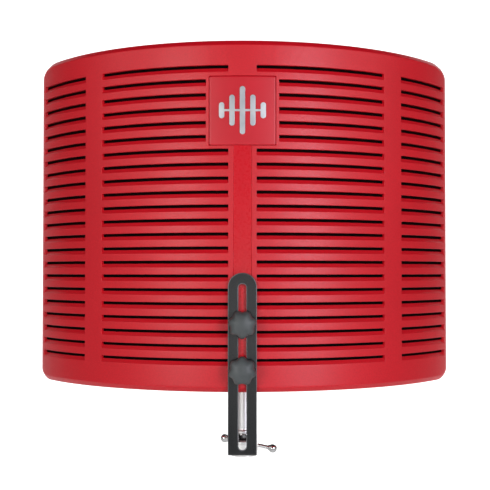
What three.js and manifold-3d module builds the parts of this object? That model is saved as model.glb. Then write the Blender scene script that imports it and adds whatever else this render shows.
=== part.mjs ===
// A curved microphone isolation shield on an adjustable stand bracket.
// Millimetres, +Z up. The origin is on the stand thread's axis, at the bottom face of the stand collar.
// The convex back of the shield, with its knobs, faces -Y and the microphone stands on the +Y side.
import * as THREE from "three";
import { mergeVertices } from "three/addons/utils/BufferGeometryUtils.js";
import Module from "manifold-3d";

const wasm = await Module();
wasm.setup();

// Shield, worked out in a frame of its own: Y = 0 at its foremost line and Z = 0 at its lower edge.
const OUTER_RADIUS = 235.5;
const HALF_ANGLE = THREE.MathUtils.degToRad(57);
const HEIGHT = 305;
const PANEL_DEPTH = 45;
const WALL = 3;
const GAP = 0.3;
const FACETS_PER_SIDE = 8;
const REAR_DEPTH = 22;
const FRAME_LIP = 10;
const END_WALL_ANGLE = WALL / OUTER_RADIUS;
const END_LIP_ANGLE = FRAME_LIP / (OUTER_RADIUS - PANEL_DEPTH);

// Ventilation slots in the back of the shield.
const SLOT_ROWS = 22;
const SLOT_PITCH = 12.15;
const SLOT_OPENING = 5.95;
const SLOT_TOP_MARGIN = 22.2;
const CENTRE_SLOT_START = THREE.MathUtils.degToRad(3.04);
const CENTRE_SLOT_END = THREE.MathUtils.degToRad(32.5);
const BADGE_SLOT_START = THREE.MathUtils.degToRad(7.8);
const SIDE_SLOT_START = THREE.MathUtils.degToRad(38.1);
const SIDE_SLOT_END = THREE.MathUtils.degToRad(55.6);
const FIRST_BADGE_ROW = 1;
const LAST_BADGE_ROW = 5;

// Badge and the shallow channel under it.
const BADGE_WIDTH = 58;
const BADGE_BOTTOM = 213;
const BADGE_HEIGHT = 60;
const BADGE_THICKNESS = 1.9;
const BADGE_PROUD = 0.5;
const EMBLEM_THICKNESS = 0.8;
const EMBLEM_BARS = [14, 27, 42, 27, 14];
const EMBLEM_PITCH = 9;
const EMBLEM_BAR_WIDTH = 4.6;
const EMBLEM_LINK = 1.8;
const CHANNEL_WIDTH = 15.8;
const CHANNEL_DEPTH = 0.9;

// Absorbing layers inside the shield.
const LAYER_MARGIN = 14.5;
const FELT_THICKNESS = 2;
const WOOL_OUTER = 216;
const WOOL_INNER = 205.5;
const PAD_PROUD = 2;
const PAD_CHANNELS = 9;
const PAD_CHANNEL_DEPTH = 4;
const PAD_CHANNEL_WIDTH = 7;
const SPACER_WIDTH = 8;
const SPACER_ANGLES = [-36, -18, 18, 36];

// Screws that hold the front frame to the rear shell.
const SCREW_ANGLES = [-48, -16, 16, 48];
const SCREW_EDGE = 8.4;
const SCREW_BOSS_WIDTH = 10;
const SCREW_BOSS_HEIGHT = 9.4;
const SCREW_SHAFT = 1.5;
const SCREW_HEAD = 3.2;
const SCREW_HEAD_HEIGHT = 2.2;
const SCREW_LENGTH = 26;

// Clamp knobs and the threaded inserts that they screw into.
const KNOB_HEIGHTS = [18.5, 58];
const KNOB_RADIUS = 10.9;
const KNOB_LOBE = 1.5;
const KNOB_LOBES = 7;
const KNOB_POINTS_PER_LOBE = 6;
const BOLT_RADIUS = 2.9;
const INSERT_RADIUS = 4.5;
const INSERT_FLANGE = 7.5;
const SPINE_WIDTH = 22;
const SPINE_BOTTOM = 6;
const SPINE_TOP = 100;
const SPINE_THICKNESS = 2.5;
const SPINE_BACK = 4.1;

// L-shaped support bracket of 3 mm steel strip.
const BRACKET_WIDTH = 25;
const BRACKET_THICKNESS = 3;
const BRACKET_TOP = 102.1;
const BRACKET_BOTTOM = -55.3;
const BRACKET_BEND = 4;
const UPRIGHT_SLOT = [-50.2, 92.6];
const UPRIGHT_SLOT_WIDTH = 6.9;
const LEG_SLOT_START = 9;
const LEG_SLOT_WIDTH = 8.8;

// Stand collar, post and microphone thread, on an axis of their own.
const POST_SETBACK = 90;
const COLLAR_TO_SHIELD = 72;
const COLLAR_RADIUS = 13.5;
const COLLAR_HEIGHT = 15.5;
const SOCKET_RADIUS = 8.2;
const SOCKET_DEPTH = 11;
const STUD_RADIUS = 4;
const LEG_TOP = COLLAR_TO_SHIELD + BRACKET_BOTTOM + BRACKET_THICKNESS;
const LEG_BOTTOM = COLLAR_TO_SHIELD + BRACKET_BOTTOM;
const POST_RADIUS = 8;
const POST_TOP = 66;
const MIC_THREAD_RADIUS = 7.9;
const MIC_THREAD_TOP = 82;
const MIC_THREAD_PITCH = 3;
const MIC_RING_RADIUS = 12.5;

// Clamp screw with its sliding cross bar.
const CLAMP_HEIGHT = 8.1;
const CLAMP_HEAD_RADIUS = 5.5;
const CLAMP_HEAD = [16.5, 27.5];
const BAR_OFFSET = 22;
const BAR_RADIUS = 1.9;
const BAR_HALF_LENGTH = 23.9;
const BAR_SHIFT = 4.5;
const BAR_TILT = THREE.MathUtils.degToRad(12);
const BALL_RADIUS = 4.3;

const FACET = HALF_ANGLE / FACETS_PER_SIDE;
const INNER_RADIUS = OUTER_RADIUS - PANEL_DEPTH;
const PARTING_RADIUS = OUTER_RADIUS - REAR_DEPTH;
const WALL_RADIUS = OUTER_RADIUS - WALL;
const LAYER_ANGLE = HALF_ANGLE - END_WALL_ANGLE - GAP / INNER_RADIUS;

const MATERIALS = {
  redPlastic: { color: 0xc8202f, roughness: 0.45, metalness: 0 },
  badgeRed: { color: 0xc2141f, roughness: 0.25, metalness: 0 },
  silver: { color: 0xc9cbcd, roughness: 0.35, metalness: 0.9 },
  blackSteel: { color: 0x2b2e30, roughness: 0.5, metalness: 0.3 },
  knobPlastic: { color: 0x2f3335, roughness: 0.5, metalness: 0 },
  chrome: { color: 0xdadada, roughness: 0.08, metalness: 1 },
  satinNickel: { color: 0xbfbdb8, roughness: 0.35, metalness: 1 },
  brass: { color: 0xb5923c, roughness: 0.3, metalness: 1 },
  zincSteel: { color: 0x8f9294, roughness: 0.4, metalness: 0.9 },
  felt: { color: 0x0d0d0e, roughness: 1, metalness: 0 },
  foam: { color: 0x151517, roughness: 1, metalness: 0 },
  wool: { color: 0x6f6a60, roughness: 1, metalness: 0 },
  rubber: { color: 0x1b1b1b, roughness: 0.8, metalness: 0 },
};

function solidOf(geometry) {
  const bare = geometry.clone();
  bare.deleteAttribute("normal");
  bare.deleteAttribute("uv");
  const merged = mergeVertices(bare, 1e-4);
  const mesh = new wasm.Mesh({
    numProp: 3,
    vertProperties: new Float32Array(merged.attributes.position.array),
    triVerts: new Uint32Array(merged.index.array),
  });
  return new wasm.Manifold(mesh);
}

function geometryOf(solid) {
  const mesh = solid.getMesh();
  const geometry = new THREE.BufferGeometry();
  geometry.setAttribute("position", new THREE.BufferAttribute(mesh.vertProperties, 3));
  geometry.setIndex(new THREE.BufferAttribute(mesh.triVerts, 1));
  geometry.computeVertexNormals();
  return geometry;
}

function joined(solids) {
  return solids.reduce((whole, solid) => whole.add(solid));
}

function piece(name, material, solid) {
  const mesh = new THREE.Mesh(geometryOf(solid), new THREE.MeshStandardMaterial(MATERIALS[material]));
  mesh.name = name;
  return mesh;
}

function extruded(points, depth) {
  return new THREE.ExtrudeGeometry(new THREE.Shape(points), { depth, bevelEnabled: false });
}

function block(size, centre) {
  return solidOf(new THREE.BoxGeometry(...size).translate(...centre));
}

// A turned solid about +Z. The profile holds [radius, height] pairs from the bottom up, and closes on the axis.
function turned(profile, sides) {
  const points = profile.map(([radius, height]) => new THREE.Vector2(radius, height));
  return new THREE.LatheGeometry(points, sides).rotateX(Math.PI / 2);
}

function rod(radius, bottom, top, sides = 16) {
  return turned([[0, bottom], [radius, bottom], [radius, top], [0, top]], sides);
}

function ring(innerRadius, outerRadius, bottom, top, sides = 24) {
  const outline = solidOf(rod(outerRadius, bottom, top, sides));
  return outline.subtract(solidOf(rod(innerRadius, bottom - 1, top + 1, sides)));
}

// Turns a solid made about +Z so that its top points to -Y, then puts its axis at a height.
function pointingBack(geometry, height) {
  return geometry.rotateX(Math.PI / 2).translate(0, 0, height);
}

// A point on the faceted circle of the shield, at an angle from its middle.
function arcPoint(radius, angle) {
  const facetMiddle = (Math.floor(angle / FACET + 1e-6) + 0.5) * FACET;
  const distance = (radius * Math.cos(FACET / 2)) / Math.cos(angle - facetMiddle);
  return new THREE.Vector2(distance * Math.sin(angle), OUTER_RADIUS - distance * Math.cos(angle));
}

function arcAngles(start, end) {
  const angles = [start];
  for (let index = -FACETS_PER_SIDE; index <= FACETS_PER_SIDE; index += 1) {
    const angle = index * FACET;
    if (angle > start + 1e-3 && angle < end - 1e-3) {
      angles.push(angle);
    }
  }
  angles.push(end);
  return angles;
}

// A curved slab of the shield between two radii, two angles and two heights.
function slab(innerRadius, outerRadius, start, end, bottom, top) {
  const angles = arcAngles(start, end);
  const outside = angles.map((angle) => arcPoint(outerRadius, angle));
  const inside = angles.map((angle) => arcPoint(innerRadius, angle)).reverse();
  return solidOf(extruded([...outside, ...inside], top - bottom).translate(0, 0, bottom));
}

// Places a solid made with -Y pointing outwards from the shield's centre line at an angle round it.
function roundShield(geometry, angle) {
  return solidOf(geometry.rotateZ(angle).translate(0, OUTER_RADIUS, 0));
}

// A rounded slot or tongue outline, drawn from two end heights.
function stadium(width, low, high, steps = 6) {
  const radius = width / 2;
  const points = [];
  for (let step = 0; step <= steps; step += 1) {
    const angle = (Math.PI * step) / steps;
    points.push(new THREE.Vector2(radius * Math.cos(angle), high - radius + radius * Math.sin(angle)));
  }
  for (let step = 0; step <= steps; step += 1) {
    const angle = Math.PI + (Math.PI * step) / steps;
    points.push(new THREE.Vector2(radius * Math.cos(angle), low + radius + radius * Math.sin(angle)));
  }
  return points;
}

function slotCutters() {
  const cutters = [];
  for (let row = 0; row < SLOT_ROWS; row += 1) {
    const top = HEIGHT - SLOT_TOP_MARGIN - row * SLOT_PITCH;
    const besideBadge = row >= FIRST_BADGE_ROW && row <= LAST_BADGE_ROW;
    const centreStart = besideBadge ? BADGE_SLOT_START : CENTRE_SLOT_START;
    const spans = [
      [centreStart, CENTRE_SLOT_END],
      [SIDE_SLOT_START, SIDE_SLOT_END],
    ];
    for (const [start, end] of spans) {
      const reach = [WALL_RADIUS - 1, OUTER_RADIUS + 1];
      cutters.push(slab(...reach, start, end, top - SLOT_OPENING, top));
      cutters.push(slab(...reach, -end, -start, top - SLOT_OPENING, top));
    }
  }
  return cutters;
}

function screwPlaces() {
  const places = [];
  for (const degrees of SCREW_ANGLES) {
    for (const height of [SCREW_EDGE, HEIGHT - SCREW_EDGE]) {
      places.push({ angle: THREE.MathUtils.degToRad(degrees), height });
    }
  }
  return places;
}

function radialBlock(place, innerRadius, outerRadius) {
  const depth = outerRadius - innerRadius;
  const box = new THREE.BoxGeometry(SCREW_BOSS_WIDTH, depth, SCREW_BOSS_HEIGHT);
  box.translate(0, -(innerRadius + outerRadius) / 2, place.height);
  return roundShield(box, place.angle);
}

function radialRod(place, radius, innerRadius, outerRadius) {
  const shaft = pointingBack(rod(radius, innerRadius, outerRadius, 8), place.height);
  return roundShield(shaft, place.angle);
}

function badgeSlab(innerRadius, outerRadius, margin) {
  const angle = (BADGE_WIDTH / 2 + margin) / OUTER_RADIUS;
  const bottom = BADGE_BOTTOM - margin;
  return slab(innerRadius, outerRadius, -angle, angle, bottom, BADGE_BOTTOM + BADGE_HEIGHT + margin);
}

function rearShell() {
  let shell = slab(PARTING_RADIUS, OUTER_RADIUS, -HALF_ANGLE, HALF_ANGLE, 0, HEIGHT);
  const inside = HALF_ANGLE - END_WALL_ANGLE;
  shell = shell.subtract(slab(PARTING_RADIUS - 1, WALL_RADIUS, -inside, inside, WALL, HEIGHT - WALL));
  const bosses = screwPlaces().map((place) => radialBlock(place, PARTING_RADIUS, WALL_RADIUS + 1));
  shell = joined([shell, ...bosses]);
  const pilots = screwPlaces().map((place) => radialRod(place, SCREW_SHAFT + GAP, 200, 223));
  const badgeSeat = OUTER_RADIUS + BADGE_PROUD - BADGE_THICKNESS - GAP;
  const channel = block(
    [CHANNEL_WIDTH, CHANNEL_DEPTH + 2, BADGE_BOTTOM + 1],
    [0, CHANNEL_DEPTH / 2 - 1, (BADGE_BOTTOM - 1) / 2],
  );
  const insertHoles = KNOB_HEIGHTS.map((height) =>
    solidOf(pointingBack(rod(INSERT_RADIUS + GAP, -20, 20), height)),
  );
  const cutters = [
    ...slotCutters(),
    ...pilots,
    ...insertHoles,
    channel,
    badgeSlab(badgeSeat, OUTER_RADIUS + 3, GAP),
  ];
  return piece("rear_shell", "redPlastic", shell.subtract(joined(cutters)));
}

function frontFrame() {
  const rim = PARTING_RADIUS - GAP;
  const inside = HALF_ANGLE - END_WALL_ANGLE;
  const opening = HALF_ANGLE - END_LIP_ANGLE;
  const lip = INNER_RADIUS + WALL;
  let frame = slab(INNER_RADIUS, rim, -HALF_ANGLE, HALF_ANGLE, 0, HEIGHT);
  frame = frame.subtract(slab(lip, rim + 1, -inside, inside, WALL, HEIGHT - WALL));
  const pillars = screwPlaces().map((place) => radialBlock(place, INNER_RADIUS + 1, rim - 1));
  frame = joined([frame, ...pillars]);
  const mouth = slab(INNER_RADIUS - 2, lip + 1, -opening, opening, FRAME_LIP + WALL, HEIGHT - FRAME_LIP - WALL);
  const holes = screwPlaces().map((place) => radialRod(place, SCREW_SHAFT + GAP, 180, 220));
  const seats = screwPlaces().map((place) =>
    radialRod(place, SCREW_HEAD + GAP, 180, INNER_RADIUS + SCREW_HEAD_HEIGHT + 1),
  );
  return piece("front_frame", "redPlastic", frame.subtract(joined([mouth, ...holes, ...seats])));
}

function rearFelt() {
  const outer = WALL_RADIUS - GAP;
  const top = HEIGHT - LAYER_MARGIN;
  const felt = slab(outer - FELT_THICKNESS, outer, -LAYER_ANGLE, LAYER_ANGLE, LAYER_MARGIN, top);
  const spineGap = block([SPINE_WIDTH + 2, 20, SPINE_TOP + 2], [0, 5, SPINE_TOP / 2]);
  return piece("rear_felt", "felt", felt.subtract(spineGap));
}

function coreWool() {
  const top = HEIGHT - LAYER_MARGIN;
  return piece("core_wool", "wool", slab(WOOL_INNER, WOOL_OUTER, -LAYER_ANGLE, LAYER_ANGLE, LAYER_MARGIN, top));
}

function frontPad() {
  const lip = INNER_RADIUS + WALL + GAP;
  const opening = HALF_ANGLE - END_LIP_ANGLE - GAP / INNER_RADIUS;
  const low = FRAME_LIP + WALL + GAP;
  const backing = slab(lip, WOOL_INNER - GAP, -LAYER_ANGLE, LAYER_ANGLE, LAYER_MARGIN, HEIGHT - LAYER_MARGIN);
  const face = slab(INNER_RADIUS - PAD_PROUD, lip + 1, -opening, opening, low + 1.5, HEIGHT - low - 1.5);
  const channels = [];
  for (let index = 0; index < PAD_CHANNELS; index += 1) {
    const angle = opening * ((2 * (index + 1)) / (PAD_CHANNELS + 1) - 1);
    const groove = new THREE.BoxGeometry(PAD_CHANNEL_WIDTH, 2 * PAD_CHANNEL_DEPTH, HEIGHT);
    groove.translate(0, PAD_PROUD - INNER_RADIUS, HEIGHT / 2);
    channels.push(roundShield(groove, angle));
  }
  return piece("front_pad", "foam", backing.add(face).subtract(joined(channels)));
}

function airSpacers() {
  return SPACER_ANGLES.map((degrees, index) => {
    const inner = WOOL_OUTER + 0.8;
    const outer = WALL_RADIUS - FELT_THICKNESS - 1.4;
    const length = HEIGHT - 2 * LAYER_MARGIN;
    const strip = new THREE.BoxGeometry(SPACER_WIDTH, outer - inner, length);
    strip.translate(0, -(inner + outer) / 2, HEIGHT / 2);
    return piece(`air_spacer_${index + 1}`, "foam", roundShield(strip, THREE.MathUtils.degToRad(degrees)));
  });
}

function badgePlate() {
  const outer = OUTER_RADIUS + BADGE_PROUD;
  return piece("badge_plate", "badgeRed", badgeSlab(outer - BADGE_THICKNESS, outer, 0));
}

// A row of upright bars of different heights, joined by one thin bar.
function badgeEmblem() {
  const inner = OUTER_RADIUS + BADGE_PROUD + 0.1;
  const outer = inner + EMBLEM_THICKNESS;
  const middle = BADGE_BOTTOM + BADGE_HEIGHT / 2;
  const reach = (((EMBLEM_BARS.length - 1) / 2) * EMBLEM_PITCH) / OUTER_RADIUS;
  const half = EMBLEM_BAR_WIDTH / 2 / OUTER_RADIUS;
  const bars = EMBLEM_BARS.map((height, index) => {
    const angle = ((index - (EMBLEM_BARS.length - 1) / 2) * EMBLEM_PITCH) / OUTER_RADIUS;
    return slab(inner, outer, angle - half, angle + half, middle - height / 2, middle + height / 2);
  });
  const link = slab(inner, outer, -reach, reach, middle - EMBLEM_LINK / 2, middle + EMBLEM_LINK / 2);
  return piece("badge_emblem", "silver", joined([link, ...bars]));
}

function spinePlate() {
  const height = SPINE_TOP - SPINE_BOTTOM;
  const centre = [0, SPINE_BACK + SPINE_THICKNESS / 2, SPINE_BOTTOM + height / 2];
  const plate = block([SPINE_WIDTH, SPINE_THICKNESS, height], centre);
  const holes = KNOB_HEIGHTS.map((z) => solidOf(pointingBack(rod(INSERT_RADIUS + GAP, -20, 20), z)));
  return piece("spine_plate", "zincSteel", plate.subtract(joined(holes)));
}

function threadedInsert(name, height) {
  const flange = SPINE_BACK + SPINE_THICKNESS + GAP;
  const profile = [
    [0, -flange - 3],
    [INSERT_FLANGE, -flange - 3],
    [INSERT_FLANGE, -flange],
    [INSERT_RADIUS, -flange],
    [INSERT_RADIUS, -CHANNEL_DEPTH - GAP],
    [0, -CHANNEL_DEPTH - GAP],
  ];
  const body = solidOf(pointingBack(turned(profile, 16), height));
  const bore = solidOf(pointingBack(rod(BOLT_RADIUS + GAP, -20, 20), height));
  return piece(name, "brass", body.subtract(bore));
}

function frameScrews() {
  return screwPlaces().map((place, index) => {
    const seat = INNER_RADIUS + SCREW_HEAD_HEIGHT + 1 - GAP;
    const profile = [
      [0, seat - SCREW_HEAD_HEIGHT],
      [SCREW_HEAD, seat - SCREW_HEAD_HEIGHT],
      [SCREW_HEAD, seat],
      [SCREW_SHAFT, seat],
      [SCREW_SHAFT, seat + SCREW_LENGTH],
      [0, seat + SCREW_LENGTH],
    ];
    const screw = roundShield(pointingBack(turned(profile, 8), place.height), place.angle);
    return piece(`frame_screw_${index + 1}`, "zincSteel", screw);
  });
}

function knobOutline(firstLobe) {
  const points = [];
  const count = KNOB_LOBES * KNOB_POINTS_PER_LOBE;
  for (let index = 0; index < count; index += 1) {
    const angle = (2 * Math.PI * index) / count;
    const radius = KNOB_RADIUS + KNOB_LOBE * Math.cos(KNOB_LOBES * (angle - firstLobe));
    points.push(new THREE.Vector2(radius * Math.cos(angle), radius * Math.sin(angle)));
  }
  return points;
}

// One clamp knob with its bolt and washer. The knob's lobes start at the angle given, seen from behind.
function clampKnob(name, height, firstLobe) {
  const face = BRACKET_THICKNESS + GAP;
  const washer = [face + GAP, face + GAP + 1.4];
  const hub = washer[1] + GAP;
  const star = extruded(knobOutline(firstLobe), 9.5).translate(0, 0, hub + 2.5);
  const body = joined([
    solidOf(pointingBack(rod(7.5, hub, hub + 3), height)),
    solidOf(pointingBack(star, height)),
    solidOf(pointingBack(turned([[0, hub + 11], [10, hub + 11], [7.2, hub + 14.4], [0, hub + 14.4]], 16), height)),
  ]);
  const boltHole = solidOf(pointingBack(rod(BOLT_RADIUS + GAP, hub - 1, hub + 10), height));
  const bolt = solidOf(pointingBack(rod(BOLT_RADIUS, -10.5, hub + 9.6), height));
  const washerRing = ring(BOLT_RADIUS + GAP, 8.5, washer[0], washer[1], 20);
  return [
    piece(name, "knobPlastic", body.subtract(boltHole)),
    piece(`${name}_bolt`, "zincSteel", bolt),
    piece(`${name}_washer`, "zincSteel", solidOf(pointingBack(geometryOf(washerRing), height))),
  ];
}

function bracketProfile() {
  const back = -GAP;
  const front = -GAP - BRACKET_THICKNESS;
  const end = POST_SETBACK + BRACKET_WIDTH / 2 + 1;
  const centre = [front + BRACKET_BEND, BRACKET_BOTTOM + BRACKET_BEND];
  const bend = (radius) => {
    const points = [];
    for (let step = 0; step <= 4; step += 1) {
      const angle = Math.PI + ((Math.PI / 2) * step) / 4;
      points.push([centre[0] + radius * Math.cos(angle), centre[1] + radius * Math.sin(angle)]);
    }
    return points;
  };
  const outline = [
    [back, BRACKET_TOP],
    [front, BRACKET_TOP],
    ...bend(BRACKET_BEND),
    [end, BRACKET_BOTTOM],
    [end, BRACKET_BOTTOM + BRACKET_THICKNESS],
    ...bend(BRACKET_BEND - BRACKET_THICKNESS).reverse(),
  ];
  return outline.map(([y, z]) => new THREE.Vector2(y, z));
}

function supportBracket() {
  const end = POST_SETBACK + BRACKET_WIDTH / 2 + 1;
  // The strip is drawn in the YZ plane and extruded along X.
  const strip = extruded(bracketProfile(), BRACKET_WIDTH);
  strip.applyMatrix4(
    new THREE.Matrix4().makeBasis(
      new THREE.Vector3(0, 1, 0),
      new THREE.Vector3(0, 0, 1),
      new THREE.Vector3(1, 0, 0),
    ),
  );
  strip.translate(-BRACKET_WIDTH / 2, 0, 0);
  const tongue = extruded(stadium(BRACKET_WIDTH, -200, BRACKET_TOP, 12), 300);
  tongue.rotateX(Math.PI / 2).translate(0, 200, 0);
  const legEnd = extruded(stadium(BRACKET_WIDTH, -100, end, 12), 400).translate(0, 0, -200);
  const uprightSlot = extruded(stadium(UPRIGHT_SLOT_WIDTH, ...UPRIGHT_SLOT), 6);
  uprightSlot.rotateX(Math.PI / 2).translate(0, 1, 0);
  const legSlot = extruded(stadium(LEG_SLOT_WIDTH, LEG_SLOT_START, POST_SETBACK + LEG_SLOT_WIDTH / 2), 6);
  legSlot.translate(0, 0, BRACKET_BOTTOM - 1.5);
  const bracket = solidOf(strip)
    .intersect(solidOf(tongue))
    .intersect(solidOf(legEnd))
    .subtract(solidOf(uprightSlot))
    .subtract(solidOf(legSlot));
  return piece("support_bracket", "blackSteel", bracket);
}

function standCollar() {
  const body = solidOf(
    turned(
      [
        [0, 0],
        [COLLAR_RADIUS - 0.8, 0],
        [COLLAR_RADIUS, 0.8],
        [COLLAR_RADIUS, COLLAR_HEIGHT - 0.8],
        [COLLAR_RADIUS - 0.8, COLLAR_HEIGHT],
        [0, COLLAR_HEIGHT],
      ],
      24,
    ),
  );
  const socket = solidOf(rod(SOCKET_RADIUS, -1, SOCKET_DEPTH, 20));
  const studHole = solidOf(rod(STUD_RADIUS + GAP, 5, COLLAR_HEIGHT + 1));
  const screwHole = solidOf(pointingBack(rod(BOLT_RADIUS + GAP, -20, -5), CLAMP_HEIGHT));
  return piece("stand_collar", "satinNickel", body.subtract(joined([socket, studHole, screwHole])));
}

function post() {
  const foot = LEG_TOP + 1.8;
  const profile = [
    [0, SOCKET_DEPTH + 1],
    [STUD_RADIUS, SOCKET_DEPTH + 1],
    [STUD_RADIUS, foot],
    [10, foot],
    [10, foot + 2.5],
    [POST_RADIUS, foot + 3.5],
    [POST_RADIUS, POST_TOP],
    [0, POST_TOP],
  ];
  const bore = solidOf(rod(STUD_RADIUS + GAP, POST_TOP - 9, POST_TOP + 1));
  return piece("post", "chrome", solidOf(turned(profile, 20)).subtract(bore));
}

// The microphone thread, drawn as rings one above the other.
function micStud() {
  const bottom = POST_TOP + GAP;
  const profile = [
    [0, bottom - 8],
    [STUD_RADIUS, bottom - 8],
    [STUD_RADIUS, bottom],
    [MIC_THREAD_RADIUS, bottom],
  ];
  const turns = Math.floor((MIC_THREAD_TOP - bottom) / MIC_THREAD_PITCH) - 1;
  for (let turn = 0; turn < turns; turn += 1) {
    const height = bottom + 1 + turn * MIC_THREAD_PITCH;
    profile.push([MIC_THREAD_RADIUS, height]);
    profile.push([MIC_THREAD_RADIUS - 0.6, height + MIC_THREAD_PITCH / 2]);
  }
  profile.push([MIC_THREAD_RADIUS - 0.6, MIC_THREAD_TOP]);
  profile.push([0, MIC_THREAD_TOP]);
  return piece("mic_stud", "chrome", solidOf(turned(profile, 14)));
}

function legWashers() {
  return [
    piece("leg_washer_upper", "chrome", ring(STUD_RADIUS + GAP, 9.5, LEG_TOP + GAP, LEG_TOP + 1.5)),
    piece("leg_washer_lower", "rubber", ring(STUD_RADIUS + GAP, 9.5, COLLAR_HEIGHT + 0.2, LEG_BOTTOM - 0.2)),
  ];
}

function micRing() {
  const bottom = POST_TOP + 0.6;
  const top = bottom + 5;
  return [
    piece("mic_ring", "chrome", ring(MIC_THREAD_RADIUS + GAP, MIC_RING_RADIUS, bottom, top, 20)),
    piece("mic_ring_washer", "rubber", ring(MIC_THREAD_RADIUS + GAP, 11.5, top + GAP, top + 1.5, 20)),
  ];
}

function clampScrew() {
  const shank = solidOf(pointingBack(rod(BOLT_RADIUS - 0.1, -CLAMP_HEAD[0] - 1, -10.2), CLAMP_HEIGHT));
  const head = solidOf(pointingBack(rod(CLAMP_HEAD_RADIUS, -CLAMP_HEAD[1], -CLAMP_HEAD[0]), CLAMP_HEIGHT));
  const crossHole = solidOf(onBar(rod(BAR_RADIUS + GAP, -10, 10)));
  const pad = solidOf(pointingBack(rod(BOLT_RADIUS - 0.3, -9.9, -8.4), CLAMP_HEIGHT));
  return [
    piece("clamp_pad", "brass", pad),
    piece("clamp_screw", "chrome", head.add(shank).subtract(crossHole)),
  ];
}

// Lays a solid made about +Z along the tilted cross bar, whose middle is the clamp screw's axis.
function onBar(geometry) {
  return geometry.rotateY(Math.PI / 2 + BAR_TILT).translate(0, BAR_OFFSET, CLAMP_HEIGHT);
}

function tommyBar() {
  const ends = [BAR_SHIFT - BAR_HALF_LENGTH, BAR_SHIFT + BAR_HALF_LENGTH];
  const inset = BALL_RADIUS - 1;
  const bar = solidOf(onBar(rod(BAR_RADIUS, ends[0] + inset, ends[1] - inset, 12)));
  const balls = ends.map((end, index) => {
    const inward = index === 0 ? 1 : -1;
    const ball = new THREE.SphereGeometry(BALL_RADIUS, 12, 8).rotateX(Math.PI / 2).translate(0, 0, end);
    const hole = rod(BAR_RADIUS + GAP, 0, BALL_RADIUS + 1, 12);
    hole.translate(0, 0, inward > 0 ? end + inset - GAP : end - inset + GAP - BALL_RADIUS - 1);
    const drilled = solidOf(onBar(ball)).subtract(solidOf(onBar(hole)));
    return piece(index === 0 ? "tommy_ball_left" : "tommy_ball_right", "chrome", drilled);
  });
  return [piece("tommy_bar", "chrome", bar), ...balls];
}

const filter = new THREE.Group();
filter.add(
  rearShell(),
  frontFrame(),
  rearFelt(),
  coreWool(),
  frontPad(),
  ...airSpacers(),
  badgePlate(),
  badgeEmblem(),
  spinePlate(),
  threadedInsert("insert_lower", KNOB_HEIGHTS[0]),
  threadedInsert("insert_upper", KNOB_HEIGHTS[1]),
  ...frameScrews(),
);

const bracket = new THREE.Group();
bracket.add(
  supportBracket(),
  ...clampKnob("knob_lower", KNOB_HEIGHTS[0], Math.PI / 2),
  ...clampKnob("knob_upper", KNOB_HEIGHTS[1], -Math.PI / 2),
);

const shield = new THREE.Group();
shield.add(filter, bracket);
shield.position.set(0, -POST_SETBACK, COLLAR_TO_SHIELD);

const stand = new THREE.Group();
stand.add(
  standCollar(),
  post(),
  micStud(),
  ...legWashers(),
  ...micRing(),
  ...clampScrew(),
  ...tommyBar(),
);

const part = new THREE.Group();
part.add(shield, stand);

export default part;
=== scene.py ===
"""Looks of the microphone isolation shield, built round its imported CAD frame. Metres, +Z up."""

import math

import bmesh
import bpy
from mathutils import Matrix, Vector, noise


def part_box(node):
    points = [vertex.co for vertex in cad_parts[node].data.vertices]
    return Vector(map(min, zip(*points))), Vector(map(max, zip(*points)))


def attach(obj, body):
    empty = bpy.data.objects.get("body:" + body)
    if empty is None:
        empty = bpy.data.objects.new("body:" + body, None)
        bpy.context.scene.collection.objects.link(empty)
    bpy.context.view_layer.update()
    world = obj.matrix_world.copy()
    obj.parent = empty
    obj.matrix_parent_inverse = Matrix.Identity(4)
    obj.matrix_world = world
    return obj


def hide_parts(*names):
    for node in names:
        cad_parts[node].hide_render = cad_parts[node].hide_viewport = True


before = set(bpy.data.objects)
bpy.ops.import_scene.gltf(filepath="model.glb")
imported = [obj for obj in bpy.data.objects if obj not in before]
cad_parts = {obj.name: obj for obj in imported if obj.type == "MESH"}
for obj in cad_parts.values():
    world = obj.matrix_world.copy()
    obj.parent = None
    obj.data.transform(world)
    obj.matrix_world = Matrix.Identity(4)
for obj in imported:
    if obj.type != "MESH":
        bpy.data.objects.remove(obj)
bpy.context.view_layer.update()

MM = 0.001

# The shield's curved body, in its own flat layout: arc length, height and depth behind the outer skin.
OUTER_RADIUS = 235.5 * MM
HALF_ARC = OUTER_RADIUS * math.radians(57)
SHIELD_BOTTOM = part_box("rear_shell")[0].z
SHIELD_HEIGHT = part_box("rear_shell")[1].z - SHIELD_BOTTOM
SHIELD_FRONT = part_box("support_bracket")[0].y + 3.3 * MM
ARC_CENTRE_Y = SHIELD_FRONT + OUTER_RADIUS
WALL = 3 * MM
REAR_DEPTH = 22 * MM
PARTING_GAP = 0.3 * MM
PANEL_DEPTH = 45 * MM
EDGE_ROUND = 5 * MM
# The bevel at the top and bottom edges, as (offset, depth) in mm. It is shallower at the sides.
EDGE_PROFILE = ((0.4, 0.07), (0.9, 0.33), (1.6, 0.86), (3.0, 2.0), (4.2, 3.0), (4.75, 3.65), (5.0, 4.4))
SIDE_EDGE_SHARE = 0.1
SKIRT = -1.5 * MM
BOTTOM_CORNER = (12 * MM, 11 * MM)
TOP_CORNER = (25 * MM, 14 * MM)
ARC_STEP = OUTER_RADIUS * math.radians(1.75)

SLOT_ROWS = 22
SLOT_PITCH = 12.15 * MM
SLOT_OPENING = 5.95 * MM
SLOT_TOP_MARGIN = 22.2 * MM
SLOT_EDGE = 0.35 * MM
LOUVRE_RISE = 3.3 * MM
LOUVRE_DEPTH = 2.3 * MM
CENTRE_SLOT = (math.radians(3.0), math.radians(32.95))
BADGE_SLOT = (math.radians(7.8), math.radians(32.95))
SIDE_SLOT = (math.radians(38.1), math.radians(55.65))
BADGE_ROWS = range(1, 6)

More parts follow.
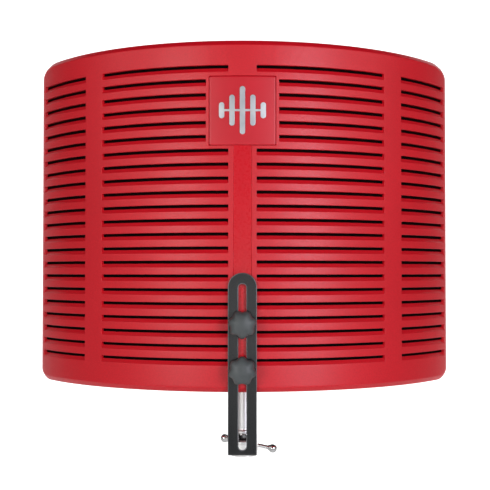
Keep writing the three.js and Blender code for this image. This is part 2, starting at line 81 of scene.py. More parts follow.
BADGE_HALF = 29 * MM
BADGE_BOTTOM = 213 * MM
BADGE_TOP = 273 * MM
BADGE_BACK = 1.4 * MM
BADGE_PROUD = 0.5 * MM
BADGE_POCKET = 1.7 * MM
BADGE_GAP = 0.15 * MM
BADGE_EDGE = 1.1 * MM
BADGE_EDGE_FALL = 0.6 * MM
BADGE_CORNER = (1.3 * MM, 1.3 * MM)
CHANNEL_HALF = 7.9 * MM
CHANNEL_DEPTH = 0.9 * MM
CHANNEL_FOOT = 7 * MM
POCKET_SOFTNESS = 0.35 * MM
EMBLEM_BARS = (14, 27, 42, 27, 14)
EMBLEM_PITCH = 9 * MM
EMBLEM_WIDTH = 4.6 * MM
EMBLEM_LINK = 1.8 * MM
EMBLEM_THICKNESS = 0.8 * MM

MOUTH_INSET = 13 * MM
PAD_INSET = 13.4 * MM
PAD_BACK = 31 * MM
PAD_CROWN = 46.8 * MM
PAD_GROOVE = 43.2 * MM
PAD_RIBS = 10
PAD_EDGE = 9 * MM
RIB_FULLNESS = 0.42
STITCH_PITCH = 4.2 * MM
# One stitch, as (how far along it, half its thickness) in mm.
STITCH = ((0, 0.15), (0.4, 0.34), (1.5, 0.42), (2.6, 0.34), (3, 0.15))
FELT_DEPTHS = (3.3 * MM, 5.3 * MM)
FELT_MARGIN = 14.5 * MM
FELT_HALF = 230.5 * MM
SPINE_NOTCH = (12 * MM, 102 * MM)

SCREW_ANGLES = (-48, -16, 16, 48)
SCREW_EDGE = 8.4 * MM
KNOB_LOBES = 7
LOBE_HEIGHT = 0.85 * MM
KNOB_HUB = SHIELD_FRONT - 5.3 * MM
KNOB_HEIGHTS = {"knob_lower": 18.5 * MM, "knob_upper": 58 * MM}
FIRST_LOBE = {"knob_lower": math.pi / 2, "knob_upper": -math.pi / 2}
INSERT_HOLE = 4.8 * MM
HOLE_EDGE = 0.15 * MM
HOLE_REACH = 6.6 * MM

# Stand side, on the stand thread's axis at X = Y = 0.
STRIP_THICKNESS = 3 * MM
STRIP_BEND = 4 * MM
STRIP_BEVEL = 0.6 * MM
UPRIGHT_SLOT_WIDTH = 6.9 * MM
UPRIGHT_SLOT_TOP = SHIELD_BOTTOM + 92.6 * MM
UPRIGHT_SLOT_FOOT = 1.1 * MM
LEG_SLOT_WIDTH = 8.8 * MM
LEG_SLOT_START = SHIELD_FRONT + 9 * MM
LEG_SLOT_LENGTH = 85.4 * MM
LEG_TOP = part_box("support_bracket")[0].z + STRIP_THICKNESS
POST_TOP = 66 * MM
COLLAR_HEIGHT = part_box("stand_collar")[1].z
CLAMP_HEIGHT = 8.1 * MM
BAR_Y = 22 * MM
BAR_TILT = math.radians(12)
BAR_HALF_LENGTH = 23.9 * MM
BAR_SHIFT = 4.5 * MM
BALL_RADIUS = 4.3 * MM
BOLT_HOLE = 3.2 * MM
COLLAR_RADIUS = 13.5 * MM
SOCKET_RADIUS = 8.2 * MM
SOCKET_DEPTH = 11 * MM
STUD_RADIUS = 4.3 * MM
POST_RADIUS = 8 * MM
THREAD_PITCH = 0.94 * MM
LOCK_RING_TEETH = 48

# The studio. The air's brightness is given from below to above, and from the camera's side to the far side.
AIR_UPWARDS = ((0.30, 0.08), (0.40, 0.10), (0.46, 1.0), (0.60, 1.0), (0.72, 0.06), (1.0, 0.02))
AIR_INWARDS = ((0.0, 0.36), (0.40, 0.36), (0.55, 0.10), (0.64, 0.10), (0.72, 0.16), (0.84, 0.7))
LIGHT_TARGET = (0, -0.06, 0.22)
SOFTBOXES = (
    ("left_softbox", (-0.77, -1.30, 0.36), (0.34, 0.75), 7.3, (1, 1, 1)),
    ("right_softbox", (0.77, -1.30, 0.36), (0.34, 0.75), 10.4, (1.0, 0.99, 1.12)),
    ("left_side_softbox", (-1.28, -0.66, 0.73), (0.5, 0.5), 1.5, (1, 1, 1)),
    ("right_side_softbox", (1.28, -0.66, 0.73), (0.5, 0.5), 1.2, (1, 1, 1)),
    ("front_fill", (0, -1.75, 0.04), (0.3, 0.32), 1.0, (1, 1, 1)),
    ("inner_fill", (0.3, 1.4, 0.9), (1.2, 1.0), 6, (1, 1, 1)),
)
CAMERA_LENS = 69.39
CAMERA_SHIFT = (-0.0273, 0.0139)
CAMERA_PLACE = (13.8 * MM, -906.7 * MM, 175.1 * MM)
CAMERA_PITCH = math.radians(1.2)


# ---- mesh tools

def shield_point(s, z, depth):
    """The place in the row frame of a point of the shield's flat layout."""
    angle = s / OUTER_RADIUS
    radius = OUTER_RADIUS - depth
    return Vector((radius * math.sin(angle), ARC_CENTRE_Y - radius * math.cos(angle), SHIELD_BOTTOM + z))


def loose_object(bm):
    mesh = bpy.data.meshes.new("loose")
    bm.to_mesh(mesh)
    bm.free()
    made = bpy.data.objects.new("loose", mesh)
    bpy.context.scene.collection.objects.link(made)
    return made


def combined(bm, others, operation):
    """Joins closed meshes to a closed mesh, or cuts them out of it."""
    base = loose_object(bm)
    tools = [loose_object(other) for other in others]
    for tool in tools:
        modifier = base.modifiers.new("combine", "BOOLEAN")
        modifier.operation = operation
        modifier.solver = "MANIFOLD"
        modifier.object = tool
    result = bmesh.new()
    result.from_object(base, bpy.context.evaluated_depsgraph_get())
    for used in [base, *tools]:
        bpy.data.objects.remove(used)
    return result


def shown(name, bm, body, slot, replaces=(), sharp=40, finishes=()):
    """Makes the finished piece from a bmesh. Its finish has the slot's name, unless others are given."""
    bmesh.ops.remove_doubles(bm, verts=bm.verts, dist=1e-6)
    bmesh.ops.recalc_face_normals(bm, faces=bm.faces)
    for face in bm.faces:
        face.smooth = True
    for edge in bm.edges:
        edge.smooth = edge.calc_face_angle(0) < math.radians(sharp)
    mesh = bpy.data.meshes.new(name)
    bm.to_mesh(mesh)
    bm.free()
    for finish in finishes or (slot,):
        mesh.materials.append(MATERIALS[finish])
    piece = bpy.data.objects.new(name, mesh)
    bpy.context.scene.collection.objects.link(piece)
    weighted = piece.modifiers.new("weighted normals", "WEIGHTED_NORMAL")
    weighted.keep_sharp = True
    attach(piece, body)
    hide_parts(*replaces)
    return piece


def rounded(points, size, steps=3, closed=False):
    """The outline with each corner turned into a small curve."""
    result = []
    for index, (x, y) in enumerate(points):
        if not closed and index in (0, len(points) - 1):
            result.append((x, y))
            continue
        corner = Vector((x, y))
        before = Vector(points[index - 1]) - corner
        after = Vector(points[(index + 1) % len(points)]) - corner
        reach = min(size, 0.45 * before.length, 0.45 * after.length)
        start = corner + before.normalized() * reach
        end = corner + after.normalized() * reach
        for step in range(steps + 1):
            t = step / steps
            result.append(tuple(start * (1 - t) ** 2 + corner * 2 * t * (1 - t) + end * t * t))
    return result


def lathe(profile, steps=64, closed=False, shape=None):
    """A solid turned about +Z from (radius, height) pairs. Shape may change a point by its angle."""
    bm = bmesh.new()
    rings = []
    for radius, height in profile:
        if radius < 1e-7:
            rings.append([bm.verts.new((0, 0, height))] * steps)
            continue
        ring = []
        for step in range(steps):
            angle = 2 * math.pi * step / steps
            r, h = shape(angle, radius, height) if shape else (radius, height)
            ring.append(bm.verts.new((r * math.cos(angle), r * math.sin(angle), h)))
        rings.append(ring)
    pairs = list(zip(rings, rings[1:]))
    if closed:
        pairs.append((rings[-1], rings[0]))
    for lower, upper in pairs:
        for step in range(steps):
            following = (step + 1) % steps
            corners = dict.fromkeys([lower[step], lower[following], upper[following], upper[step]])
            if len(corners) > 2:
                bm.faces.new(list(corners))
    bmesh.ops.recalc_face_normals(bm, faces=bm.faces)
    return bm


def rod_profile(radius, low, high):
    return [(0, low), (radius, low), (radius, high), (0, high)]


def ring_profile(inner, outer, low, high):
    return [(inner, low), (outer, low), (outer, high), (inner, high)]


def threaded(bottom, top, major, minor, pitch, steps=32):
    """A rod about +Z with a helical thread that fades out at both ends."""
    bm = bmesh.new()
    section = [(0.0, minor), (0.1, minor), (0.45, major), (0.6, major)]
    turns = math.ceil((top - bottom) / pitch)
    rows = []
    for turn in range(-1, turns + 1):
        for share, radius in section:
            row = []
            for step in range(steps + 1):
                height = bottom + (turn + share + step / steps) * pitch
                height = min(max(height, bottom), top)
                r = min(radius, minor + 1.3 * (height - bottom), minor + 1.3 * (top - height))
                angle = 2 * math.pi * step / steps
                row.append(bm.verts.new((r * math.cos(angle), r * math.sin(angle), height)))
            rows.append(row)
    for lower, upper in zip(rows, rows[1:]):
        for step in range(steps):
            bm.faces.new((lower[step], lower[step + 1], upper[step + 1], upper[step]))
    bmesh.ops.remove_doubles(bm, verts=bm.verts, dist=1e-7)
    bmesh.ops.dissolve_degenerate(bm, edges=bm.edges, dist=1e-7)
    bmesh.ops.holes_fill(bm, edges=bm.edges, sides=0)
    bmesh.ops.recalc_face_normals(bm, faces=bm.faces)
    return bm


def block(size, centre):
    bm = bmesh.new()
    bmesh.ops.create_cube(bm, size=1, matrix=Matrix.Translation(centre) @ Matrix.Diagonal((*size, 1)))
    return bm


def merged(parts):
    """Several separate closed meshes as one."""
    bm = bmesh.new()
    for part in parts:
        mesh = bpy.data.meshes.new("part")
        part.to_mesh(mesh)
        part.free()
        bm.from_mesh(mesh)
        bpy.data.meshes.remove(mesh)
    return bm


def turned_to(bm, direction, origin):
    """Turns a solid made about +Z so that its top points along a direction, and moves it."""
    rotation = Vector(direction).to_track_quat("Z", "Y").to_matrix().to_4x4()
    bm.transform(Matrix.Translation(origin) @ rotation)
    return bm


def facing_back(bm, x, y, z):
    """Turns a solid made about +Z so that its top points to -Y and its X stays."""
    bm.transform(Matrix.Translation((x, y, z)) @ Matrix.Rotation(math.pi / 2, 4, "X"))
    return bm


def round_shield(bm, degrees, height):
    """Places a solid on the shield. It is made about +Z, with heights as distances from the arc's axis."""
    facing_back(bm, 0, 0, height)
    turn = Matrix.Rotation(math.radians(degrees), 4, "Z")
    bm.transform(Matrix.Translation((0, ARC_CENTRE_Y, SHIELD_BOTTOM)) @ turn)
    return bm


def screw_places():
    heights = (SCREW_EDGE, SHIELD_HEIGHT - SCREW_EDGE)
    return [(degrees, height) for degrees in SCREW_ANGLES for height in heights]


def stadium(width, low, high, steps=16):
    radius = width / 2
    points = []
    for centre, start in ((high - radius, 0), (low + radius, math.pi)):
        for step in range(steps + 1):
            angle = start + math.pi * step / steps
            points.append((radius * math.cos(angle), centre + radius * math.sin(angle)))
    return points


def flat_plate(outlines, thickness, bevel, edge_finish=0):
    """A plate in the XY plane, from Z = 0 up, with an outer outline, holes and bevelled edges."""
    bm = bmesh.new()
    edges = []
    for outline in outlines:
        verts = [bm.verts.new((x, y, 0)) for x, y in outline]
        edges += [bm.edges.new((verts[i - 1], verts[i])) for i in range(len(verts))]
    bmesh.ops.triangle_fill(bm, use_beauty=True, use_dissolve=False, edges=edges)
    top = bmesh.ops.extrude_face_region(bm, geom=bm.faces[:])
    lifted = [item for item in top["geom"] if isinstance(item, bmesh.types.BMVert)]
    bmesh.ops.translate(bm, verts=lifted, vec=(0, 0, thickness))
    bmesh.ops.recalc_face_normals(bm, faces=bm.faces)
    rims = [edge for edge in bm.edges if abs(edge.calc_face_angle(0) - math.pi / 2) < 0.02]
    rims = [edge for edge in rims if abs(edge.verts[0].co.z - edge.verts[1].co.z) < 1e-7]
    bevelled = bmesh.ops.bevel(
        bm, geom=rims, offset=bevel, segments=3, profile=0.5, affect="EDGES", clamp_overlap=True
    )
    for face in bevelled["faces"]:
        face.material_index = edge_finish
    return bm


def sliced(bm, axis, places):
    """Adds cuts across a mesh so that it can be bent there."""
    for place in places:
        point = Vector((0, 0, 0))
        point[axis] = place
        normal = Vector((0, 0, 0))
        normal[axis] = 1
        everything = bm.verts[:] + bm.edges[:] + bm.faces[:]
        bmesh.ops.bisect_plane(bm, geom=everything, plane_co=point, plane_no=normal)
    return bm


def lines(low, high, step, kept):
    """Grid lines: the kept ones exactly, and evenly spaced ones wherever these leave room."""
    result = [low, high]
    for line in sorted(kept):
        if min(abs(line - other) for other in result) > 1e-5:
            result.append(line)
    count = max(1, round((high - low) / step))
    for index in range(1, count):
        line = low + (high - low) * index / count
        if min(abs(line - other) for other in result) > 0.3 * step:
            result.append(line)
    return sorted(result)


def nearest(values, value):
    return min(range(len(values)), key=lambda index: abs(values[index] - value))


def nearest_lines(s_lines, z_lines, rectangle):
    """The grid numbers of the lines nearest to a rectangle's sides."""
    s0, s1, z0, z1 = rectangle
    return nearest(s_lines, s0), nearest(s_lines, s1), nearest(z_lines, z0), nearest(z_lines, z1)


def cells(i0, i1, j0, j1):
    return {(i, j) for i in range(i0, i1) for j in range(j0, j1)}


class ShieldMesh:
    """A closed mesh laid out flat on the shield, and bent round it at the end."""

    def __init__(self):
        self.points = []
        self.faces = []

    def point(self, s, z, depth):
        self.points.append((s, z, depth))
        return len(self.points) - 1

    def face(self, corners, finish=0):
        corners = list(dict.fromkeys(corners))
        if len(corners) > 2:
            self.faces.append((corners, finish))

    def grid(self, s_lines, z_lines, place, skipped=(), finish=None):
        """Faces between grid lines, apart from the skipped cells. Returns the vertex numbers."""
        numbers = {}
        for i in range(len(s_lines) - 1):
            for j in range(len(z_lines) - 1):
                if (i, j) in skipped:
                    continue
                corners = [(i, j), (i + 1, j), (i + 1, j + 1), (i, j + 1)]
                for corner in corners:
                    if corner not in numbers:
                        numbers[corner] = self.point(*place(*corner))
                kind = finish(i, j) if finish else 0
                self.face([numbers[corner] for corner in corners], kind)
        return numbers

    def strip(self, first, second):
        """Joins two closed rings of the same length."""
        for index in range(len(first)):
            self.face([first[index - 1], first[index], second[index], second[index - 1]])

    def sleeve(self, loop, front, back, rings=()):
        """Joins a loop of grid places on the front to the same loop on the back, through rings of points."""
        before = [front[place] for place in loop]
        for ring in rings:
            numbers = [self.point(*point) for point in ring]
            self.strip(before, numbers)
            before = numbers
        self.strip(before, [back[place] for place in loop])

    def bent(self):
        bm = bmesh.new()
        verts = [bm.verts.new(shield_point(*point)) for point in self.points]
        for corners, finish in self.faces:
            face = bm.faces.new([verts[number] for number in corners])
            face.material_index = finish
        return bm


def loop_round(i0, i1, j0, j1):
    """Grid places round a rectangle of cells, anticlockwise."""
    loop = [(i, j0) for i in range(i0, i1)]
    loop += [(i1, j) for j in range(j0, j1)]
    loop += [(i, j1) for i in range(i1, i0, -1)]
    loop += [(i0, j) for j in range(j1, j0, -1)]
    return loop


def rim_of(i1, j1):
    """The grid's border with its outward directions."""
    rim = []
    for i, j in loop_round(0, i1, 0, j1):
        rim.append(((i, j), (i == i1) - (i == 0), (j == j1) - (j == 0)))
    return rim


def corner_lines(low, high, low_reach, high_reach, count=7):
    """Close grid lines near both ends, where the corners are round."""
    shares = [(index + 1) / count for index in range(count)]
    near_low = [low + low_reach * share for share in shares]
    return near_low + [high - high_reach * share for share in shares]


class Corners:
    """Elliptical corners, as (across, up), of a flat layout from -half to half and low to high."""

    def __init__(self, half, low, high, bottom, top):
        self.half, self.low, self.high = half, low, high
        self.bottom, self.top = bottom, top

    def overs(self, s, z):
        """How far a point is into a corner: 0 at the inner sides of its rectangle, 1 at the outer ones."""
        at_top = z > (self.low + self.high) / 2
        across, up = self.top if at_top else self.bottom
        beyond = z - self.high if at_top else self.low - z
        return (abs(s) - self.half) / across + 1, beyond / up + 1

    def sideness(self, s, z):
        """0 on the top and bottom edges, 1 on the sides, and between them round the corners."""
        s_over, z_over = (max(over, 0) for over in self.overs(s, z))
        return s_over**2 / max(s_over**2 + z_over**2, 1e-9)

    def rounded(self, points):
        for index, (s, z, depth) in enumerate(points):
            s_over, z_over = self.overs(s, z)
            if s_over <= 0 or z_over <= 0:
                continue
            at_top = z > (self.low + self.high) / 2
            across, up = self.top if at_top else self.bottom
            share = max(s_over, z_over) / math.hypot(s_over, z_over)
            rise = (z_over * share - 1) * up
            s = math.copysign(self.half + (s_over * share - 1) * across, s)
            points[index] = (s, self.high + rise if at_top else self.low - rise, depth)


def rounded_slab(s_lines, z_lines, outer, inner, rings, corners, skipped=(), finish=None):
    """An outer skin, rings round it as (offset, depth, depth at the sides), and an inner skin."""
    slab = ShieldMesh()
    front = slab.grid(s_lines, z_lines, outer, skipped, finish)
    back = slab.grid(s_lines, z_lines, inner, skipped)
    rim = rim_of(len(s_lines) - 1, len(z_lines) - 1)
    placed = []
    for offset, depth, side_depth in rings:
        ring = []
        for (i, j), ns, nz in rim:
            s, z = s_lines[i] + offset * ns, z_lines[j] + offset * nz
            ring.append((s, z, depth + (side_depth - depth) * corners.sideness(s, z)))
        placed.append(ring)
    slab.sleeve([place for place, _, _ in rim], front, back, placed)
    corners.rounded(slab.points)
    return slab, front, back


# ---- materials

def surface(name, colour, roughness, **sockets):
    """A new material with its shader. The sockets hold the values that are the same all over."""
    material = bpy.data.materials.new(name)
    material.use_nodes = True
    shader = material.node_tree.nodes["Principled BSDF"]
    shader.inputs["Base Color"].default_value = (*colour, 1)
    shader.inputs["Roughness"].default_value = roughness
    for socket, value in sockets.items():
        shader.inputs[socket.replace("_", " ")].default_value = value
    material.diffuse_color = (*colour, 1)
    return material, material.node_tree, shader


def node(tree, kind, **settings):
    made = tree.nodes.new(kind)
    for setting, value in settings.items():
        setattr(made, setting, value)
    return made


def object_place(tree, stretch=(1, 1, 1)):
    """Where a point is on the object, with each direction stretched."""
    place = node(tree, "ShaderNodeTexCoord")
    mapping = node(tree, "ShaderNodeMapping")
    mapping.inputs["Scale"].default_value = stretch
    tree.links.new(place.outputs["Object"], mapping.inputs["Vector"])
    return mapping.outputs["Vector"]


def noise_at(tree, place, scale, detail=3.0, rough=0.5):
    made = node(tree, "ShaderNodeTexNoise")
    made.inputs["Scale"].default_value = scale
    made.inputs["Detail"].default_value = detail
    made.inputs["Roughness"].default_value = rough
    tree.links.new(place, made.inputs["Vector"])
    return made.outputs["Fac"]


def ramp(tree, factor, stops):
    """Colours along a factor, as (position, colour) pairs."""
    made = node(tree, "ShaderNodeValToRGB")
    elements = made.color_ramp.elements
    while len(elements) < len(stops):
        elements.new(0.5)
    for element, (position, colour) in zip(elements, stops):
        element.position = position
        element.color = (*colour, 1)
    tree.links.new(factor, made.inputs["Fac"])
    return made.outputs["Color"]


def coloured(tree, shader, factor, dark, light):
    """Colours the surface between a dark and a light stop."""
    tree.links.new(ramp(tree, factor, [dark, light]), shader.inputs["Base Color"])


def roughened(tree, shader, factor, low, high):
    """Stretches a factor from 0.3 to 0.7 to a roughness from low to high."""
    made = node(tree, "ShaderNodeMapRange")
    for socket, value in (("From Min", 0.3), ("From Max", 0.7), ("To Min", low), ("To Max", high)):
        made.inputs[socket].default_value = value
    tree.links.new(factor, made.inputs["Value"])
    tree.links.new(made.outputs["Result"], shader.inputs["Roughness"])


def bumped(tree, shader, height, strength, distance):
    made = node(tree, "ShaderNodeBump")
    made.inputs["Strength"].default_value = strength
    made.inputs["Distance"].default_value = distance
    tree.links.new(height, made.inputs["Height"])
    tree.links.new(made.outputs["Normal"], shader.inputs["Normal"])


def mottled(name, dark, light, roughness, spread, scales, grain, depth, specular=0.5):
    """A surface with slow colour changes, a fine grain and a little change in roughness."""
    material, tree, shader = surface(name, light, roughness, Specular_IOR_Level=specular)
    place = object_place(tree)
    tone_scale, grain_scale, *speck_scale = scales
    tone = noise_at(tree, place, tone_scale, 4.0)
    for scale in speck_scale:
        both = node(tree, "ShaderNodeMix")
        both.inputs["Factor"].default_value = SPECK_SHARE
        tree.links.new(tone, both.inputs["A"])
        tree.links.new(noise_at(tree, place, scale, 2.0, 0.6), both.inputs["B"])
        tone = both.outputs["Result"]
    fine = noise_at(tree, place, grain_scale, 2.0, 0.6)
    coloured(tree, shader, tone, (0.35, dark), (0.65, light))
    roughened(tree, shader, fine, roughness - spread, roughness + spread)
    bumped(tree, shader, fine, grain, depth * MM)
    return material


SPECK_SHARE = 0.6
# Dark and light colour, roughness and its spread, scales of the slow tone, the grain and any specks,
# strength of the grain, its depth in mm, and the specular level where it isn't the usual one.
MOTTLED = {
    # Moulded plastic with a fine spark-eroded grain.
    "red_plastic": (
        (0.53, 0.0028, 0.0105), (0.64, 0.0040, 0.0135), 0.44, 0.08, (9, 900, 800), 0.36, 0.14, 0.48,
    ),
    # The same plastic from a polished part of the mould.
    "smooth_red_plastic": (
        (0.56, 0.0030, 0.0110), (0.60, 0.0036, 0.0130), 0.28, 0.03, (14, 500), 0.05, 0.05, 0.34,
    ),
    "badge_red": ((0.52, 0.0035, 0.013), (0.57, 0.0045, 0.016), 0.38, 0.03, (22, 700), 0.04, 0.03),
    # Satin slate powder coat, and a pale copy of it for the strip's bevelled edges, where it is a painted
    # highlight.
    "black_steel": (
        (0.0025, 0.0034, 0.0040), (0.0045, 0.0055, 0.0065), 0.31, 0.05, (30, 2200), 0.25, 0.06,
    ),
    "edge_highlight_steel": ((0.10, 0.105, 0.11), (0.17, 0.175, 0.18), 0.36, 0.06, (60, 1800), 0.15, 0.05),
    "knob_plastic": ((0.056, 0.064, 0.063), (0.078, 0.087, 0.086), 0.50, 0.05, (90, 1800), 0.16, 0.05),
    "black_rubber": ((0.012, 0.012, 0.013), (0.022, 0.022, 0.023), 0.72, 0.05, (60, 1500), 0.2, 0.05),
}


def badge_silver():
    """Brushed foil: fine upright lines."""
    material, tree, shader = surface("badge_silver", (0.60, 0.62, 0.64), 0.35, Metallic=0.85)
    place = object_place(tree, (1, 1, 0.02))
    fine = noise_at(tree, place, 3500, 3.0)
    slow = noise_at(tree, object_place(tree), 60, 2.0)
    coloured(tree, shader, slow, (0.3, (0.50, 0.52, 0.55)), (0.7, (0.70, 0.71, 0.72)))
    roughened(tree, shader, fine, 0.28, 0.44)
    bumped(tree, shader, fine, 0.08, 0.02 * MM)
    return material


def chrome():
    """Bright plating with faint wipe marks."""
    looks = {"Metallic": 1.0, "Specular_Tint": (0.3, 0.3, 0.3, 1)}
    material, tree, shader = surface("chrome", (0.75, 0.75, 0.74), 0.07, **looks)
    place = object_place(tree)
    smear = noise_at(tree, place, 160, 5.0, 0.65)
    coloured(tree, shader, smear, (0.3, (0.64, 0.64, 0.63)), (0.7, (0.76, 0.76, 0.75)))
    roughened(tree, shader, smear, 0.05, 0.12)
    bumped(tree, shader, noise_at(tree, place, 900, 2.0), 0.03, 0.01 * MM)
    return material


def turned_metal(name, dark, light, roughness):
    """Metal with fine rings left by the lathe, about an upright axis."""
    material, tree, shader = surface(name, light, roughness, Metallic=1.0)
    rings = noise_at(tree, object_place(tree, (0.04, 0.04, 1)), 5200, 3.0)
    slow = noise_at(tree, object_place(tree), 110, 3.0)
    coloured(tree, shader, slow, (0.3, dark), (0.7, light))
    roughened(tree, shader, rings, roughness - 0.08, roughness + 0.08)
    bumped(tree, shader, rings, 0.12, 0.02 * MM)
    return material


def fabric(name, dark, light, thread):
    """A fine plain weave: two sets of threads crossing on the curved panel."""
    material, tree, shader = surface(name, light, 0.95, Sheen_Weight=0.25, Sheen_Roughness=0.5)
    waves = []
    for stretch in ((1, 1, 0), (0, 0, 1)):
        wave = node(tree, "ShaderNodeTexWave", wave_type="BANDS", bands_direction="DIAGONAL")
        wave.inputs["Scale"].default_value = 0.5 / thread
        for socket, value in (("Distortion", 1.2), ("Detail", 2.0), ("Detail Scale", 4.0)):
            wave.inputs[socket].default_value = value
        tree.links.new(object_place(tree, stretch), wave.inputs["Vector"])
        waves.append(wave.outputs["Fac"])
    weave = node(tree, "ShaderNodeMath", operation="MULTIPLY")
    tree.links.new(waves[0], weave.inputs[0])
    tree.links.new(waves[1], weave.inputs[1])
    coloured(tree, shader, weave.outputs[0], (0.0, dark), (0.8, light))
    bumped(tree, shader, weave.outputs[0], 0.6, 0.25 * MM)
    return material


def felt(name, dark, light, scale):
    """Matted fibres with a soft nap."""
    material, tree, shader = surface(name, light, 1.0, Specular_IOR_Level=0.02)
    fibres = noise_at(tree, object_place(tree, (1, 1, 0.35)), scale, 6.0, 0.7)
    coloured(tree, shader, fibres, (0.35, dark), (0.7, light))
    bumped(tree, shader, fibres, 0.8, 0.4 * MM)
    return material


def all_materials():
    made = {name: mottled(name, *values) for name, values in MOTTLED.items()}
    made["badge_silver"] = badge_silver()
    made["chrome"] = chrome()
    made["pad_fabric"] = fabric("pad_fabric", (0.006, 0.006, 0.007), (0.030, 0.030, 0.032), 0.9 * MM)
    for name, *values in (
        ("satin_chrome", (0.70, 0.70, 0.70), (0.80, 0.80, 0.79), 0.42),
        ("satin_nickel", (0.88, 0.87, 0.85), (0.96, 0.95, 0.93), 0.36),
        ("brass", (0.55, 0.38, 0.13), (0.68, 0.49, 0.20), 0.30),
        ("zinc_steel", (0.42, 0.43, 0.44), (0.56, 0.57, 0.58), 0.36),
    ):
        made[name] = turned_metal(name, *values)
    for name, *values in (
        ("black_felt", (0.0012, 0.0012, 0.0013), (0.004, 0.004, 0.0042), 1600),
        ("black_foam", (0.006, 0.006, 0.007), (0.02, 0.02, 0.021), 900),
        ("stitch_thread", (0.02, 0.02, 0.021), (0.05, 0.05, 0.052), 2500),
        ("grey_wool", (0.14, 0.13, 0.12), (0.30, 0.28, 0.26), 700),
    ):
        made[name] = felt(name, *values)
    return made


MATERIALS = all_materials()


# ---- the shield

def slot_places():
    """Each ventilation slot as its two arc lengths and two heights."""
    places = []
    for row in range(SLOT_ROWS):
        top = SHIELD_HEIGHT - SLOT_TOP_MARGIN - row * SLOT_PITCH
        centre = BADGE_SLOT if row in BADGE_ROWS else CENTRE_SLOT
        for start, end in (centre, SIDE_SLOT):
            near, far = start * OUTER_RADIUS, end * OUTER_RADIUS
            places.append((near, far, top - SLOT_OPENING, top))
            places.append((-far, -near, top - SLOT_OPENING, top))
    return places


def eased(distance):
    """0 outside a pocket, 1 well inside it, with a soft step between."""
    t = min(max(distance / POCKET_SOFTNESS * 0.5 + 0.5, 0), 1)
    return t * t * (3 - 2 * t)


def pocket_depth(s, z):
    badge_edge = BADGE_HALF + BADGE_GAP - abs(s)
    badge_edge = min(badge_edge, z - BADGE_BOTTOM + BADGE_GAP, BADGE_TOP + BADGE_GAP - z)
    channel_edge = min(CHANNEL_HALF - abs(s), z - CHANNEL_FOOT, BADGE_BOTTOM - z + 2 * BADGE_GAP)
    return max(BADGE_POCKET * eased(badge_edge), CHANNEL_DEPTH * eased(channel_edge))


def soft_steps(place):
    """Grid lines across a soft step."""
    return [place + POCKET_SOFTNESS * share for share in (-1, -0.5, 0, 0.5, 1)]


def slot_levels(low, high):
    """How a slot's wall goes in: growth at the sides, bottom height, its depth, top height, its depth."""
    slope = Vector((LOUVRE_RISE, LOUVRE_DEPTH)).normalized() * SLOT_EDGE
    half_way = SLOT_EDGE * (1 - math.cos(math.pi / 4))
    return [
        (half_way, low - 0.02 * MM, 0.12 * SLOT_EDGE, high + half_way, half_way),
        (0, low + slope.x, slope.y, high, SLOT_EDGE),
        (0, low + LOUVRE_RISE, LOUVRE_DEPTH, high, LOUVRE_DEPTH),
    ]


def slot_mouth(slot):
    """The slot's rectangle on the outer skin, with its rounded edge."""
    s0, s1, low, high = slot
    return s0 - SLOT_EDGE, s1 + SLOT_EDGE, low - SLOT_EDGE, high + SLOT_EDGE


def hole_square(height):
    return -HOLE_REACH, HOLE_REACH, height - HOLE_REACH, height + HOLE_REACH


def add_slot(shell, front, back, s_lines, z_lines, slot):
    """The walls of one slot: a rounded mouth, a floor that rises inwards, and the inner edge."""
    s0, s1, low, high = slot
    i0, i1, j0, j1 = nearest_lines(s_lines, z_lines, slot_mouth(slot))
    loop = loop_round(i0, i1, j0, j1)
    rings = []
    for growth, bottom, bottom_depth, top, top_depth in slot_levels(low, high):
        ring = []
        for i, j in loop:
            s = {i0: s0 - growth, i1: s1 + growth}.get(i, s_lines[i])
            share = (z_lines[j] - z_lines[j0]) / (z_lines[j1] - z_lines[j0])
            z = bottom + share * (top - bottom)
            ring.append((s, z, bottom_depth + share * (top_depth - bottom_depth)))
        rings.append(ring)
    shell.sleeve(loop, front, back, rings)


def add_insert_hole(shell, front, back, s_lines, z_lines, height):
    """The round hole for a threaded insert in the channel's floor."""
    loop = loop_round(*nearest_lines(s_lines, z_lines, hole_square(height)))
    rings = []
    edge = HOLE_EDGE
    for growth, depth in ((edge, CHANNEL_DEPTH), (0, CHANNEL_DEPTH + edge), (0, WALL)):
        radius = INSERT_HOLE + growth
        ring = []
        for i, j in loop:
            angle = math.atan2(z_lines[j] - height, s_lines[i])
            ring.append((radius * math.cos(angle), height + radius * math.sin(angle), depth))
        rings.append(ring)
    shell.sleeve(loop, front, back, rings)


def screw_bosses(inner, outer):
    """The square pillars that the frame screws bite into."""
    pillars = []
    for degrees, height in screw_places():
        pillar = block((10 * MM, 9.4 * MM, outer - inner), (0, 0, (inner + outer) / 2))
        pillars.append(round_shield(pillar, degrees, height))
    return merged(pillars)


